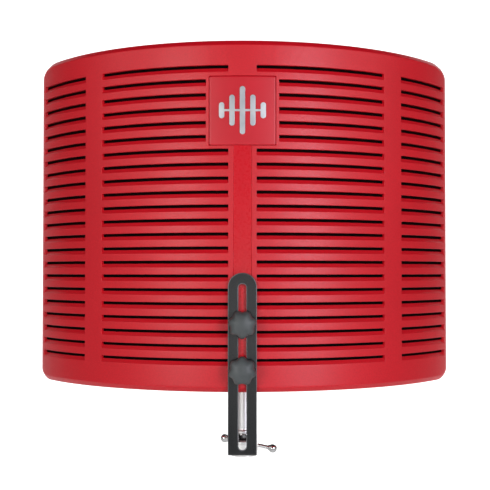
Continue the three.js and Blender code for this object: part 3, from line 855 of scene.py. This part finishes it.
def rear_shell():
    slots = slot_places()
    s_kept = [s for slot in slots for s in slot_mouth(slot)[:2]]
    z_kept = [z for slot in slots for z in slot_mouth(slot)[2:]]
    for half in (CHANNEL_HALF, BADGE_HALF + BADGE_GAP):
        s_kept += soft_steps(half) + soft_steps(-half)
    for height in (CHANNEL_FOOT, BADGE_BOTTOM - BADGE_GAP, BADGE_TOP + BADGE_GAP):
        z_kept += soft_steps(height)
    for share in (-1, -0.5, 0, 0.5, 1):
        s_kept.append(HOLE_REACH * share)
        z_kept += [height + HOLE_REACH * share for height in KNOB_HEIGHTS.values()]
    s_edge = HALF_ARC - EDGE_ROUND
    z_low, z_high = SKIRT + EDGE_ROUND, SHIELD_HEIGHT - EDGE_ROUND
    across = TOP_CORNER[0] - EDGE_ROUND
    s_kept += corner_lines(-s_edge, s_edge, across, across)
    z_kept += corner_lines(z_low, z_high, BOTTOM_CORNER[1] - EDGE_ROUND, TOP_CORNER[1] - EDGE_ROUND)
    s_lines = lines(-s_edge, s_edge, ARC_STEP, s_kept)
    z_lines = lines(z_low, z_high, SHIELD_HEIGHT, z_kept)

    skipped = set()
    moved = {}
    for slot in slots:
        s0, s1, low, high = slot
        i0, i1, j0, j1 = nearest_lines(s_lines, z_lines, slot_mouth(slot))
        skipped |= cells(i0, i1, j0, j1)
        for i, j in loop_round(i0, i1, j0, j1):
            share = (z_lines[j] - z_lines[j0]) / (z_lines[j1] - z_lines[j0])
            z = low + LOUVRE_RISE + share * (high - low - LOUVRE_RISE)
            moved[i, j] = ({i0: s0, i1: s1}.get(i, s_lines[i]), z)
    for height in KNOB_HEIGHTS.values():
        skipped |= cells(*nearest_lines(s_lines, z_lines, hole_square(height)))

    def outer(i, j):
        return s_lines[i], z_lines[j], pocket_depth(s_lines[i], z_lines[j])

    def inner(i, j):
        return (*moved.get((i, j), (s_lines[i], z_lines[j])), WALL)

    def finish(i, j):
        s, z = (s_lines[i] + s_lines[i + 1]) / 2, (z_lines[j] + z_lines[j + 1]) / 2
        return 1 if pocket_depth(s, z) > 0.8 * CHANNEL_DEPTH else 0

    rings = [(offset * MM, depth * MM, SIDE_EDGE_SHARE * depth * MM) for offset, depth in EDGE_PROFILE]
    chamfer = 0.4 * MM
    for offset, depth in (
        (EDGE_ROUND, REAR_DEPTH - chamfer),
        (EDGE_ROUND - chamfer, REAR_DEPTH),
        (EDGE_ROUND - WALL + chamfer, REAR_DEPTH),
        (EDGE_ROUND - WALL, REAR_DEPTH - chamfer),
        (EDGE_ROUND - WALL, WALL + 0.6 * MM),
    ):
        rings.append((offset, depth, depth))
    corners = Corners(HALF_ARC, SKIRT, SHIELD_HEIGHT, BOTTOM_CORNER, TOP_CORNER)
    shell, front, back = rounded_slab(s_lines, z_lines, outer, inner, rings, corners, skipped, finish)
    for slot in slots:
        add_slot(shell, front, back, s_lines, z_lines, slot)
    for height in KNOB_HEIGHTS.values():
        add_insert_hole(shell, front, back, s_lines, z_lines, height)
    bm = shell.bent()
    bmesh.ops.recalc_face_normals(bm, faces=bm.faces)
    parting = OUTER_RADIUS - REAR_DEPTH
    bm = combined(bm, [screw_bosses(parting, OUTER_RADIUS - 2 * MM)], "UNION")
    pilot = rod_profile(1.8 * MM, parting - 5 * MM, parting + 9 * MM)
    pilots = merged([round_shield(lathe(pilot, 32), *place) for place in screw_places()])
    bm = combined(bm, [pilots], "DIFFERENCE")
    finishes = ("red_plastic", "smooth_red_plastic")
    shown("rear_shell_moulding", bm, "filter", "red_plastic", ["rear_shell"], 50, finishes)


def rim_loop(inset, depth, arc_steps=66, corner_steps=12):
    """A closed loop round the panel at an inset from its edge, with rounded corners."""
    low = inset + SKIRT * (1 - inset / MOUTH_INSET)
    loop = []
    for side, at_top, start in ((1, False, -90), (1, True, 0), (-1, True, 90), (-1, False, 180)):
        across, up = (max(size - inset, 3.6 * MM) for size in (TOP_CORNER if at_top else BOTTOM_CORNER))
        s_centre = side * (HALF_ARC - inset - across)
        z_centre = SHIELD_HEIGHT - inset - up if at_top else low + up
        for step in range(corner_steps + 1):
            angle = math.radians(start + 90 * step / corner_steps)
            loop.append((s_centre + across * math.cos(angle), z_centre + up * math.sin(angle), depth))
        if start in (0, 180):
            z = loop[-1][1]
            for step in range(1, arc_steps):
                loop.append((s_centre - 2 * s_centre * step / arc_steps, z, depth))
    return loop


def front_frame():
    """The front half of the housing: a wall and a lip with a rounded mouth and a rounded outer edge."""
    lip_back = PANEL_DEPTH - WALL
    corners = [(0, REAR_DEPTH + PARTING_GAP), (0, PANEL_DEPTH), (MOUTH_INSET, PANEL_DEPTH)]
    corners += [(MOUTH_INSET, lip_back), (WALL, lip_back), (WALL, REAR_DEPTH + PARTING_GAP)]
    outline = []
    for inset, depth in rounded(corners, 0.4 * MM, 1, closed=True):
        if inset > 0.5 * MM or depth < PANEL_DEPTH - 1 * MM:
            outline.append((inset, depth))
            continue
        # Each of the outer corner's two points gives way to the same arc.
        for step in range(8):
            angle = math.radians(90 * step / 7)
            outline.append((WALL * (1 - math.cos(angle)), lip_back + WALL * math.sin(angle)))
    ring_mesh = ShieldMesh()
    rings = []
    for inset, depth in outline:
        rings.append([ring_mesh.point(*place) for place in rim_loop(inset, depth)])
    for index in range(len(rings)):
        ring_mesh.strip(rings[index - 1], rings[index])
    shown("front_frame_moulding", ring_mesh.bent(), "filter", "red_plastic", ["front_frame"], 35)


def rib_height(s, z, half, low, high):
    """How far the pad stands out, from 0 at its edge and in its grooves to 1 on a rib's crown."""
    rib = (s + half) / (2 * half) * PAD_RIBS
    across = abs(math.sin(math.pi * rib)) ** RIB_FULLNESS
    edge = min(z - low, high - z, half - abs(s)) / PAD_EDGE
    edge = math.sqrt(max(0, 1 - (1 - min(edge, 1)) ** 2))
    return across * edge


def front_pad():
    """The foam panel under its black cloth, sewn into upright ribs."""
    half = HALF_ARC - PAD_INSET
    low, high = PAD_INSET, SHIELD_HEIGHT - PAD_INSET
    rib = 2 * half / PAD_RIBS
    shares = (0, 0.02, 0.05, 0.1, 0.17, 0.26, 0.38, 0.5, 0.62, 0.74, 0.83, 0.9, 0.95, 0.98)
    s_lines = [-half + rib * (index + share) for index in range(PAD_RIBS) for share in shares] + [half]
    ends = [0, 0.5, 1.2, 2.2, 3.5, 5, 7, 9, 12]
    z_lines = [low + end * MM for end in ends]
    z_lines += [low + 12 * MM + (high - low - 24 * MM) * step / 46 for step in range(1, 46)]
    z_lines += [high - end * MM for end in reversed(ends)]

    def outer(i, j):
        s, z = s_lines[i], z_lines[j]
        stands = rib_height(s, z, half, low, high)
        soft = noise.noise(Vector((s, z * 0.6, 0)) * 45) * 0.35 * MM * stands
        return s, z, PAD_GROOVE + (PAD_CROWN - PAD_GROOVE) * stands - abs(soft)

    def inner(i, j):
        return s_lines[i], z_lines[j], PAD_BACK

    pad = ShieldMesh()
    front = pad.grid(s_lines, z_lines, outer)
    back = pad.grid(s_lines, z_lines, inner)
    pad.sleeve(loop_round(0, len(s_lines) - 1, 0, len(z_lines) - 1), front, back)
    corner = (3.6 * MM, 3.6 * MM)
    Corners(half, low, high, corner, corner).rounded(pad.points)
    piece = shown("ribbed_front_pad", pad.bent(), "filter", "black_foam", ["front_pad"], 80, ["pad_fabric"])


def pad_stitching():
    """Short stitches along the bottom of each groove of the pad."""
    half = HALF_ARC - PAD_INSET
    low, high = PAD_INSET + 6 * MM, SHIELD_HEIGHT - PAD_INSET - 6 * MM
    count = int((high - low) / STITCH_PITCH)
    stitches = ShieldMesh()
    for groove in range(1, PAD_RIBS):
        middle = -half + 2 * half * groove / PAD_RIBS
        for index in range(count):
            start = low + index * STITCH_PITCH
            rings = []
            for along, size in STITCH:
                ring = []
                for side in range(6):
                    angle = math.pi * side / 3
                    s = middle + size * MM * math.cos(angle)
                    depth = PAD_GROOVE + 0.25 * MM + size * MM * math.sin(angle)
                    ring.append(stitches.point(s, start + along * MM, depth))
                rings.append(ring)
            for first, second in zip(rings, rings[1:]):
                stitches.strip(first, second)
            stitches.face(rings[0])
            stitches.face(rings[-1])
    shown("pad_stitching", stitches.bent(), "filter", "black_foam", [], 80, ["stitch_thread"])


def rear_felt():
    """The black felt behind the slots, notched round the spine plate."""
    notch_half, notch_top = SPINE_NOTCH
    low, high = FELT_MARGIN, SHIELD_HEIGHT - FELT_MARGIN
    s_lines = lines(-FELT_HALF, FELT_HALF, ARC_STEP, [-notch_half, notch_half])
    z_lines = lines(low, high, 12 * MM, [notch_top])
    skipped = set()
    for i in range(len(s_lines) - 1):
        for j in range(len(z_lines) - 1):
            s = (s_lines[i] + s_lines[i + 1]) / 2
            if abs(s) < notch_half and z_lines[j] < notch_top - 1e-6:
                skipped.add((i, j))
    sheet = ShieldMesh()

    def at_depth(depth):
        return lambda i, j: (s_lines[i], z_lines[j], depth)

    front = sheet.grid(s_lines, z_lines, at_depth(FELT_DEPTHS[0]), skipped)
    back = sheet.grid(s_lines, z_lines, at_depth(FELT_DEPTHS[1]), skipped)
    left, right = nearest(s_lines, -notch_half), nearest(s_lines, notch_half)
    top = nearest(z_lines, notch_top)
    last_i, last_j = len(s_lines) - 1, len(z_lines) - 1
    loop = loop_round(0, last_i, 0, last_j)
    notch = [(left, j) for j in range(top)]
    notch += [(i, top) for i in range(left, right)]
    notch += [(right, j) for j in range(top, 0, -1)]
    loop[left:right] = notch
    sheet.sleeve(loop, front, back)
    piece = shown("slot_felt", sheet.bent(), "filter", "black_felt", ["rear_felt"])


def badge_plate():
    """The smooth plate in its pocket, with rounded edges."""
    edge = BADGE_EDGE
    s_edge = BADGE_HALF - edge
    low, high = BADGE_BOTTOM + edge, BADGE_TOP - edge
    s_lines = lines(-s_edge, s_edge, 3 * MM, corner_lines(-s_edge, s_edge, edge, edge, 4))
    z_lines = lines(low, high, 12 * MM, corner_lines(low, high, edge, edge, 4))
    rings = []
    for step in range(1, 6):
        angle = math.radians(18 * step)
        rings.append((edge * math.sin(angle), -BADGE_PROUD + BADGE_EDGE_FALL * (1 - math.cos(angle))))
    rings += [(edge, BADGE_BACK - 0.2 * MM), (edge - 0.2 * MM, BADGE_BACK)]
    rings = [(offset, depth, depth) for offset, depth in rings]

    def outer(i, j):
        return s_lines[i], z_lines[j], -BADGE_PROUD

    def inner(i, j):
        return s_lines[i], z_lines[j], BADGE_BACK

    corners = Corners(BADGE_HALF, BADGE_BOTTOM, BADGE_TOP, BADGE_CORNER, BADGE_CORNER)
    plate, _, _ = rounded_slab(s_lines, z_lines, outer, inner, rings, corners)
    shown("badge_plate_moulding", plate.bent(), "filter", "badge_red", ["badge_plate"])


def emblem_outline():
    """Five upright bars with round ends, joined by a thin link: one closed outline."""
    middle = (BADGE_BOTTOM + BADGE_TOP) / 2
    half_width = EMBLEM_WIDTH / 2
    half_link = EMBLEM_LINK / 2
    upper = []
    for index, height in enumerate(EMBLEM_BARS):
        centre = (index - 2) * EMBLEM_PITCH
        cap = height * MM / 2 - half_width
        if index > 0:
            upper.append((centre - half_width, half_link))
        for step in range(13):
            angle = math.pi - math.pi * step / 12
            upper.append((centre + half_width * math.cos(angle), cap + half_width * math.sin(angle)))
        if index < len(EMBLEM_BARS) - 1:
            upper.append((centre + half_width, half_link))
    lower = [(x, -y) for x, y in reversed(upper)]
    return [(x, y + middle) for x, y in upper + lower]


def badge_emblem():
    bm = flat_plate([emblem_outline()], EMBLEM_THICKNESS, 0.22 * MM)
    reach = 2 * EMBLEM_PITCH + EMBLEM_WIDTH / 2
    sliced(bm, 0, [-reach + 1.5 * MM * step for step in range(1, int(2 * reach / (1.5 * MM)))])
    back = -BADGE_PROUD - 0.1 * MM
    for vert in bm.verts:
        vert.co = shield_point(vert.co.x, vert.co.y, back - vert.co.z)
    shown("sound_bars_emblem", bm, "filter", "badge_silver", ["badge_emblem"])


def frame_screws():
    """Eight cross-recess screws with domed heads, sunk in the frame's lip."""
    seat = OUTER_RADIUS - PANEL_DEPTH + 2.9 * MM
    head_top = seat - 2.2 * MM
    for index, (degrees, height) in enumerate(screw_places()):
        profile = [(0, head_top), (1.6 * MM, head_top + 0.12 * MM), (2.6 * MM, head_top + 0.6 * MM)]
        profile += [(3.1 * MM, head_top + 1.3 * MM), (3.2 * MM, seat - 0.2 * MM), (3.0 * MM, seat)]
        profile.append((1.1 * MM, seat))
        for turn in range(18):
            root = seat + (1.5 + 1.3 * turn) * MM
            profile += [(1.1 * MM, root), (1.5 * MM, root + 0.4 * MM), (1.5 * MM, root + 0.55 * MM)]
        profile += [(1.1 * MM, seat + 25 * MM), (0, seat + 26 * MM)]
        screw = lathe(profile, 32)
        for size in ((0.8 * MM, 3.6 * MM, 2 * MM), (3.6 * MM, 0.8 * MM, 2 * MM)):
            screw = combined(screw, [block(size, (0, 0, head_top))], "DIFFERENCE")
        screw.transform(Matrix.Rotation(math.radians(20 + 37 * index), 4, "Z"))
        round_shield(screw, degrees, height)
        shown(f"cross_screw_{index + 1}", screw, "filter", "zinc_steel", [f"frame_screw_{index + 1}"], 35)


# ---- bracket and knobs

def support_bracket():
    """The L-shaped strip with its two long slots and a painted highlight on its bevelled edges: cut flat,
    then bent.
    """
    low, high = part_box("support_bracket")
    bend = STRIP_BEND
    upright = high.z - low.z - bend
    arc = bend * math.pi / 2
    leg = high.y - low.y - bend
    length = upright + arc + leg
    outline = stadium(high.x - low.x, 0, length, 28)
    upright_slot = stadium(UPRIGHT_SLOT_WIDTH, high.z - UPRIGHT_SLOT_TOP, upright - UPRIGHT_SLOT_FOOT)
    leg_start = upright + arc + (LEG_SLOT_START - low.y - bend)
    leg_slot = stadium(LEG_SLOT_WIDTH, leg_start, leg_start + LEG_SLOT_LENGTH)
    # The bevel faces take the second finish, a pale painted highlight.
    bm = flat_plate([outline, upright_slot, leg_slot], STRIP_THICKNESS, STRIP_BEVEL, 1)
    sliced(bm, 1, [upright + arc * step / 10 for step in range(11)])
    for vert in bm.verts:
        x, along, inward = vert.co
        if along <= upright:
            vert.co = (x, low.y + inward, high.z - along)
        elif along < upright + arc:
            angle = (along - upright) / bend
            radius = bend - inward
            y = low.y + bend - radius * math.cos(angle)
            vert.co = (x, y, low.z + bend - radius * math.sin(angle))
        else:
            vert.co = (x, low.y + bend + along - upright - arc, low.z + inward)
    # The second finish paints the bevelled edges pale as a highlight.
    finishes = ("black_steel", "edge_highlight_steel")
    shown("bracket_strip", bm, "bracket", "black_steel", ["support_bracket"], 35, finishes)


def knob_profile():
    """The clamp knob from its hub to its crown, as (radius, height, how much of the lobes shows)."""
    rim, crown, reach = 7.4, 14.4, 11.45
    profile = [(0, 0, 0), (7.1, 0, 0), (7.5, 0.4, 0), (7.5, 2.1, 0), (7.9, 2.5, 0.1), (9.8, 2.5, 0.7)]
    profile += [(10.7, 2.65, 1), (reach, 3.1, 1), (reach, 4.6, 1), (reach, 6.1, 1), (reach, rim, 1)]
    for step in range(1, 17):
        angle = math.radians(90 * step / 16)
        radius = reach * math.cos(angle) ** 0.86
        height = rim + (crown - rim) * math.sin(angle)
        profile.append((radius if step < 16 else 0, height, (radius / reach) ** 3.5))
    return [(radius * MM, height * MM, lobes) for radius, height, lobes in profile]


def clamp_knob(name):
    """A domed knob with seven lobes, its bolt and its washer."""
    height = SHIELD_BOTTOM + KNOB_HEIGHTS[name]
    profile = knob_profile()
    lobes_at = {(radius, level): lobes for radius, level, lobes in profile}

    def lobed(angle, radius, level):
        wave = math.cos(KNOB_LOBES * (angle - FIRST_LOBE[name]))
        return radius + LOBE_HEIGHT * lobes_at[radius, level] * wave, level

    knob = lathe([(radius, level) for radius, level, _ in profile], 140, shape=lobed)
    facing_back(knob, 0, KNOB_HUB, height)
    hole = lathe(rod_profile(BOLT_HOLE, -1 * MM, 10 * MM), 32)
    knob = combined(knob, [facing_back(hole, 0, KNOB_HUB, height)], "DIFFERENCE")
    side = name.split("_")[1]
    shown(f"{name}_grip", knob, f"{side}_knob", "knob_plastic", [name], 50)

    bolt = threaded(-15.8 * MM, 9.6 * MM, 2.9 * MM, 2.45 * MM, 1 * MM)
    facing_back(bolt, 0, KNOB_HUB, height)
    shown(f"{name}_stud", bolt, f"{side}_knob", "zinc_steel", [f"{name}_bolt"], 30)

    ring = rounded(ring_profile(BOLT_HOLE, 8.5 * MM, 0, 1.4 * MM), 0.3 * MM, closed=True)
    washer = facing_back(lathe(ring, 64, closed=True), 0, SHIELD_FRONT - 3.6 * MM, height)
    shown(f"{name}_flat_washer", washer, f"{side}_washer", "zinc_steel", [f"{name}_washer"])


# ---- stand side

def stand_collar():
    """The turned collar with grooves outside and a threaded socket underneath."""
    outer = COLLAR_RADIUS
    profile = [(outer - 1 * MM, 0), (outer, 0.9 * MM)]
    for groove in (4.2 * MM, 12.1 * MM):
        profile += [(outer, groove - 0.5 * MM), (outer - 0.35 * MM, groove - 0.3 * MM)]
        profile += [(outer - 0.35 * MM, groove + 0.3 * MM), (outer, groove + 0.5 * MM)]
    profile += [(outer, COLLAR_HEIGHT - 0.9 * MM), (outer - 0.9 * MM, COLLAR_HEIGHT)]
    profile += [(STUD_RADIUS, COLLAR_HEIGHT), (STUD_RADIUS, SOCKET_DEPTH), (SOCKET_RADIUS, SOCKET_DEPTH)]
    for turn in range(10):
        top = SOCKET_DEPTH - 0.6 * MM - turn * THREAD_PITCH
        profile += [(SOCKET_RADIUS, top), (SOCKET_RADIUS - 0.45 * MM, top - THREAD_PITCH * 0.4)]
        profile.append((SOCKET_RADIUS, top - THREAD_PITCH * 0.8))
    profile.append((SOCKET_RADIUS + 0.7 * MM, 0))
    collar = lathe(profile, 96, closed=True)
    hole = lathe(rod_profile(BOLT_HOLE, 5 * MM, 20 * MM), 40)
    collar = combined(collar, [turned_to(hole, (0, 1, 0), (0, 0, CLAMP_HEIGHT))], "DIFFERENCE")
    shown("thread_collar", collar, "stand_base", "satin_nickel", ["stand_collar"], 30)


def post_and_stud():
    """The plated post with its foot, and the microphone thread on top of it."""
    foot = LEG_TOP + 1.8 * MM
    profile = [(0, 12 * MM), (4 * MM, 12 * MM), (4 * MM, foot), (10 * MM, foot), (10 * MM, foot + 2.5 * MM)]
    profile += [(8.3 * MM, foot + 3.2 * MM), (POST_RADIUS, foot + 4.2 * MM), (POST_RADIUS, POST_TOP)]
    profile += [(STUD_RADIUS, POST_TOP), (STUD_RADIUS, POST_TOP - 9 * MM), (0, POST_TOP - 9 * MM)]
    post = rounded(profile, 0.5 * MM)
    shown("plated_post", lathe(post, 96), "stand_base", "chrome", ["post"], 30, ["satin_chrome"])
    bottom, top = POST_TOP + 0.3 * MM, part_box("mic_stud")[1].z
    thread = threaded(bottom, top, 7.9 * MM, 7.3 * MM, THREAD_PITCH, 64)
    shank = lathe(rod_profile(4 * MM, bottom - 8 * MM, bottom + 1 * MM))
    stud = combined(thread, [shank], "UNION")
    shown("microphone_thread", stud, "stand_base", "chrome", ["mic_stud"], 28)


def plain_ring(name, finish, body, node_name, inner):
    """A flat ring with rounded edges in the place of a CAD ring."""
    low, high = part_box(node_name)
    ring = rounded(ring_profile(inner, (high.x - low.x) / 2, low.z, high.z), 0.25 * MM, closed=True)
    shown(name, lathe(ring, 72, closed=True), body, finish, [node_name])


def mic_ring():
    """The knurled lock ring on the microphone thread."""
    low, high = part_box("mic_ring")
    outer, inner = 12.5 * MM, 8.2 * MM
    step = 0.7 * MM
    section = [(inner, low.z), (outer - step, low.z), (outer, low.z + step), (outer, high.z - step)]
    section += [(outer - step, high.z), (inner, high.z)]

    def knurled(angle, radius, height):
        tooth = abs(((angle * LOCK_RING_TEETH / (2 * math.pi)) % 1) * 2 - 1)
        cut = 0.45 * MM * (1 - tooth) if radius > outer - 0.1 * MM else 0
        return radius - cut, height

    ring = lathe(section, LOCK_RING_TEETH * 4, closed=True, shape=knurled)
    shown("knurled_lock_ring", ring, "mic_ring", "chrome", ["mic_ring"], 25)


def clamp_screw():
    """The screw that grips the stand's thread, with a cross hole for its bar."""
    screw = lathe(rounded(rod_profile(5.5 * MM, 16.5 * MM, 27.5 * MM), 0.9 * MM, 4), 64)
    shank = threaded(10.2 * MM, 17 * MM, 2.8 * MM, 2.35 * MM, 1 * MM)
    screw = combined(screw, [shank], "UNION")
    turned_to(screw, (0, 1, 0), (0, 0, CLAMP_HEIGHT))
    hole = lathe(rod_profile(2.2 * MM, -10 * MM, 10 * MM), 40)
    screw = combined(screw, [turned_to(hole, bar_direction(), (0, BAR_Y, CLAMP_HEIGHT))], "DIFFERENCE")
    shown("clamp_thumb_screw", screw, "clamp_screw", "chrome", ["clamp_screw"], 30)
    tip = lathe(rounded(rod_profile(2.6 * MM, 8.4 * MM, 9.9 * MM), 0.3 * MM), 40)
    pad = turned_to(tip, (0, 1, 0), (0, 0, CLAMP_HEIGHT))
    shown("clamp_tip", pad, "clamp_pad", "brass", ["clamp_pad"])


def bar_direction():
    return (math.cos(BAR_TILT), 0, -math.sin(BAR_TILT))


def tommy_bar():
    """The sliding cross bar and the ball on each of its ends."""
    reach = BAR_HALF_LENGTH - 3.3 * MM
    rod = lathe(rounded(rod_profile(1.9 * MM, -reach, reach), 0.3 * MM), 40)
    middle = Vector((0, BAR_Y, CLAMP_HEIGHT)) + Vector(bar_direction()) * BAR_SHIFT
    turned_to(rod, bar_direction(), middle)
    shown("cross_bar", rod, "tommy_bar", "chrome", ["tommy_bar"])
    for side, name in ((-1, "left"), (1, "right")):
        neck = 4.7 * MM
        profile = [(0, -3 * MM), (2.2 * MM, -3 * MM), (2.2 * MM, -neck), (2.65 * MM, -neck)]
        profile.append((2.75 * MM, -4 * MM))
        start = math.asin(2.95 * MM / BALL_RADIUS)
        for step in range(25):
            angle = start + (math.pi - start) * step / 24
            radius = BALL_RADIUS * math.sin(angle)
            profile.append((radius if step < 24 else 0, -BALL_RADIUS * math.cos(angle)))
        direction = Vector(bar_direction()) * side
        ball = turned_to(lathe(profile, 56), direction, middle + direction * BAR_HALF_LENGTH)
        shown(f"end_ball_{name}", ball, "tommy_bar", "chrome", [f"tommy_ball_{name}"], 45)


# ---- scene

def dress_cad_nodes():
    """The sealed inner pieces keep their CAD shape and get their real finish."""
    finishes = {
        "core_wool": "grey_wool",
        "spine_plate": "zinc_steel",
        "insert_lower": "brass",
        "insert_upper": "brass",
    }
    for index in range(1, 5):
        finishes[f"air_spacer_{index}"] = "black_foam"
    for name, finish in finishes.items():
        for mesh_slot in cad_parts[name].material_slots:
            mesh_slot.material = MATERIALS[finish]


def studio():
    """A pale floor that curves up into a white backdrop. It glows as painted light, dim on the floor and
    brighter towards the backdrop.
    """
    floor_level, back, side, bend = -0.55, 3.2, 4.0, 0.8
    bm = bmesh.new()
    profile = [(-3.0, floor_level), (1.2, floor_level), (2.0, floor_level)]
    for step in range(13):
        angle = math.radians(90 * step / 12)
        profile.append((back - bend + bend * math.sin(angle), floor_level + bend - bend * math.cos(angle)))
    profile.append((back, 3.2))
    rows = [[bm.verts.new((x, y, z)) for x in (-side, side)] for y, z in profile]
    for lower, upper in zip(rows, rows[1:]):
        bm.faces.new((lower[0], lower[1], upper[1], upper[0])).smooth = True
    sweep = loose_object(bm)
    sweep.name = "studio_sweep"
    # Painted light: the sweep's emission is dim near the object and full on the backdrop.
    material, tree, shader = surface("glowing_studio_sweep", (0.85, 0.85, 0.85), 0.9, Emission_Strength=1.0)
    place = node(tree, "ShaderNodeSeparateXYZ")
    tree.links.new(object_place(tree, (1, 1 / back, 1)), place.inputs["Vector"])
    glow = ramp(tree, place.outputs["Y"], [(0.0, (0.10, 0.10, 0.10)), (0.62, (1.0, 1.0, 1.0))])
    tree.links.new(glow, shader.inputs["Emission Color"])
    sweep.data.materials.append(material)


def softbox(name, place, size, power, tint):
    light = bpy.data.lights.new(name, "AREA")
    light.shape = "RECTANGLE"
    light.size, light.size_y = size
    light.energy = power
    light.color = tint
    lamp = bpy.data.objects.new(name, light)
    lamp.location = place
    lamp.rotation_euler = (Vector(LIGHT_TARGET) - Vector(place)).to_track_quat("-Z", "Y").to_euler()
    bpy.context.scene.collection.objects.link(lamp)


def studio_air():
    """White panels all round at the object's height, dimmer at the camera's side, and a dark ceiling."""
    world = bpy.data.worlds.new("studio_air")
    world.use_nodes = True
    tree = world.node_tree
    around = node(tree, "ShaderNodeTexCoord")
    half = node(tree, "ShaderNodeVectorMath", operation="MULTIPLY_ADD")
    half.inputs[1].default_value = (0.5, 0.5, 0.5)
    half.inputs[2].default_value = (0.5, 0.5, 0.5)
    tree.links.new(around.outputs["Generated"], half.inputs[0])
    parts = node(tree, "ShaderNodeSeparateXYZ")
    tree.links.new(half.outputs["Vector"], parts.inputs["Vector"])
    upright = ramp(tree, parts.outputs["Z"], [(place, (level,) * 3) for place, level in AIR_UPWARDS])
    turned = ramp(tree, parts.outputs["Y"], [(place, (level,) * 3) for place, level in AIR_INWARDS])
    both = node(tree, "ShaderNodeVectorMath", operation="MULTIPLY")
    tree.links.new(upright, both.inputs[0])
    tree.links.new(turned, both.inputs[1])
    tree.links.new(both.outputs["Vector"], tree.nodes["Background"].inputs["Color"])
    bpy.context.scene.world = world


def camera():
    """Stands in front of the convex back, a little to the right, just above the knobs, and looks up."""
    data = bpy.data.cameras.new("camera")
    data.lens = CAMERA_LENS
    data.sensor_width = 36
    data.shift_x, data.shift_y = CAMERA_SHIFT
    data.clip_start = 0.01
    viewer = bpy.data.objects.new("camera", data)
    viewer.location = CAMERA_PLACE
    viewer.rotation_euler = (math.pi / 2 + CAMERA_PITCH, 0, 0)
    bpy.context.scene.collection.objects.link(viewer)
    bpy.context.scene.camera = viewer
    bpy.context.scene.view_settings.view_transform = "Standard"


def build():
    rear_shell()
    front_frame()
    front_pad()
    pad_stitching()
    rear_felt()
    badge_plate()
    badge_emblem()
    frame_screws()
    support_bracket()
    for name in KNOB_HEIGHTS:
        clamp_knob(name)
    stand_collar()
    post_and_stud()
    plain_ring("thin_chrome_washer", "chrome", "leg_washers", "leg_washer_upper", 4.3 * MM)
    plain_ring("rubber_leg_washer", "black_rubber", "leg_washers", "leg_washer_lower", 4.3 * MM)
    plain_ring("rubber_ring_washer", "black_rubber", "mic_ring_washer", "mic_ring_washer", 8.2 * MM)
    mic_ring()
    clamp_screw()
    tommy_bar()
    dress_cad_nodes()
    studio()
    studio_air()
    for box in SOFTBOXES:
        softbox(*box)
    camera()


build()
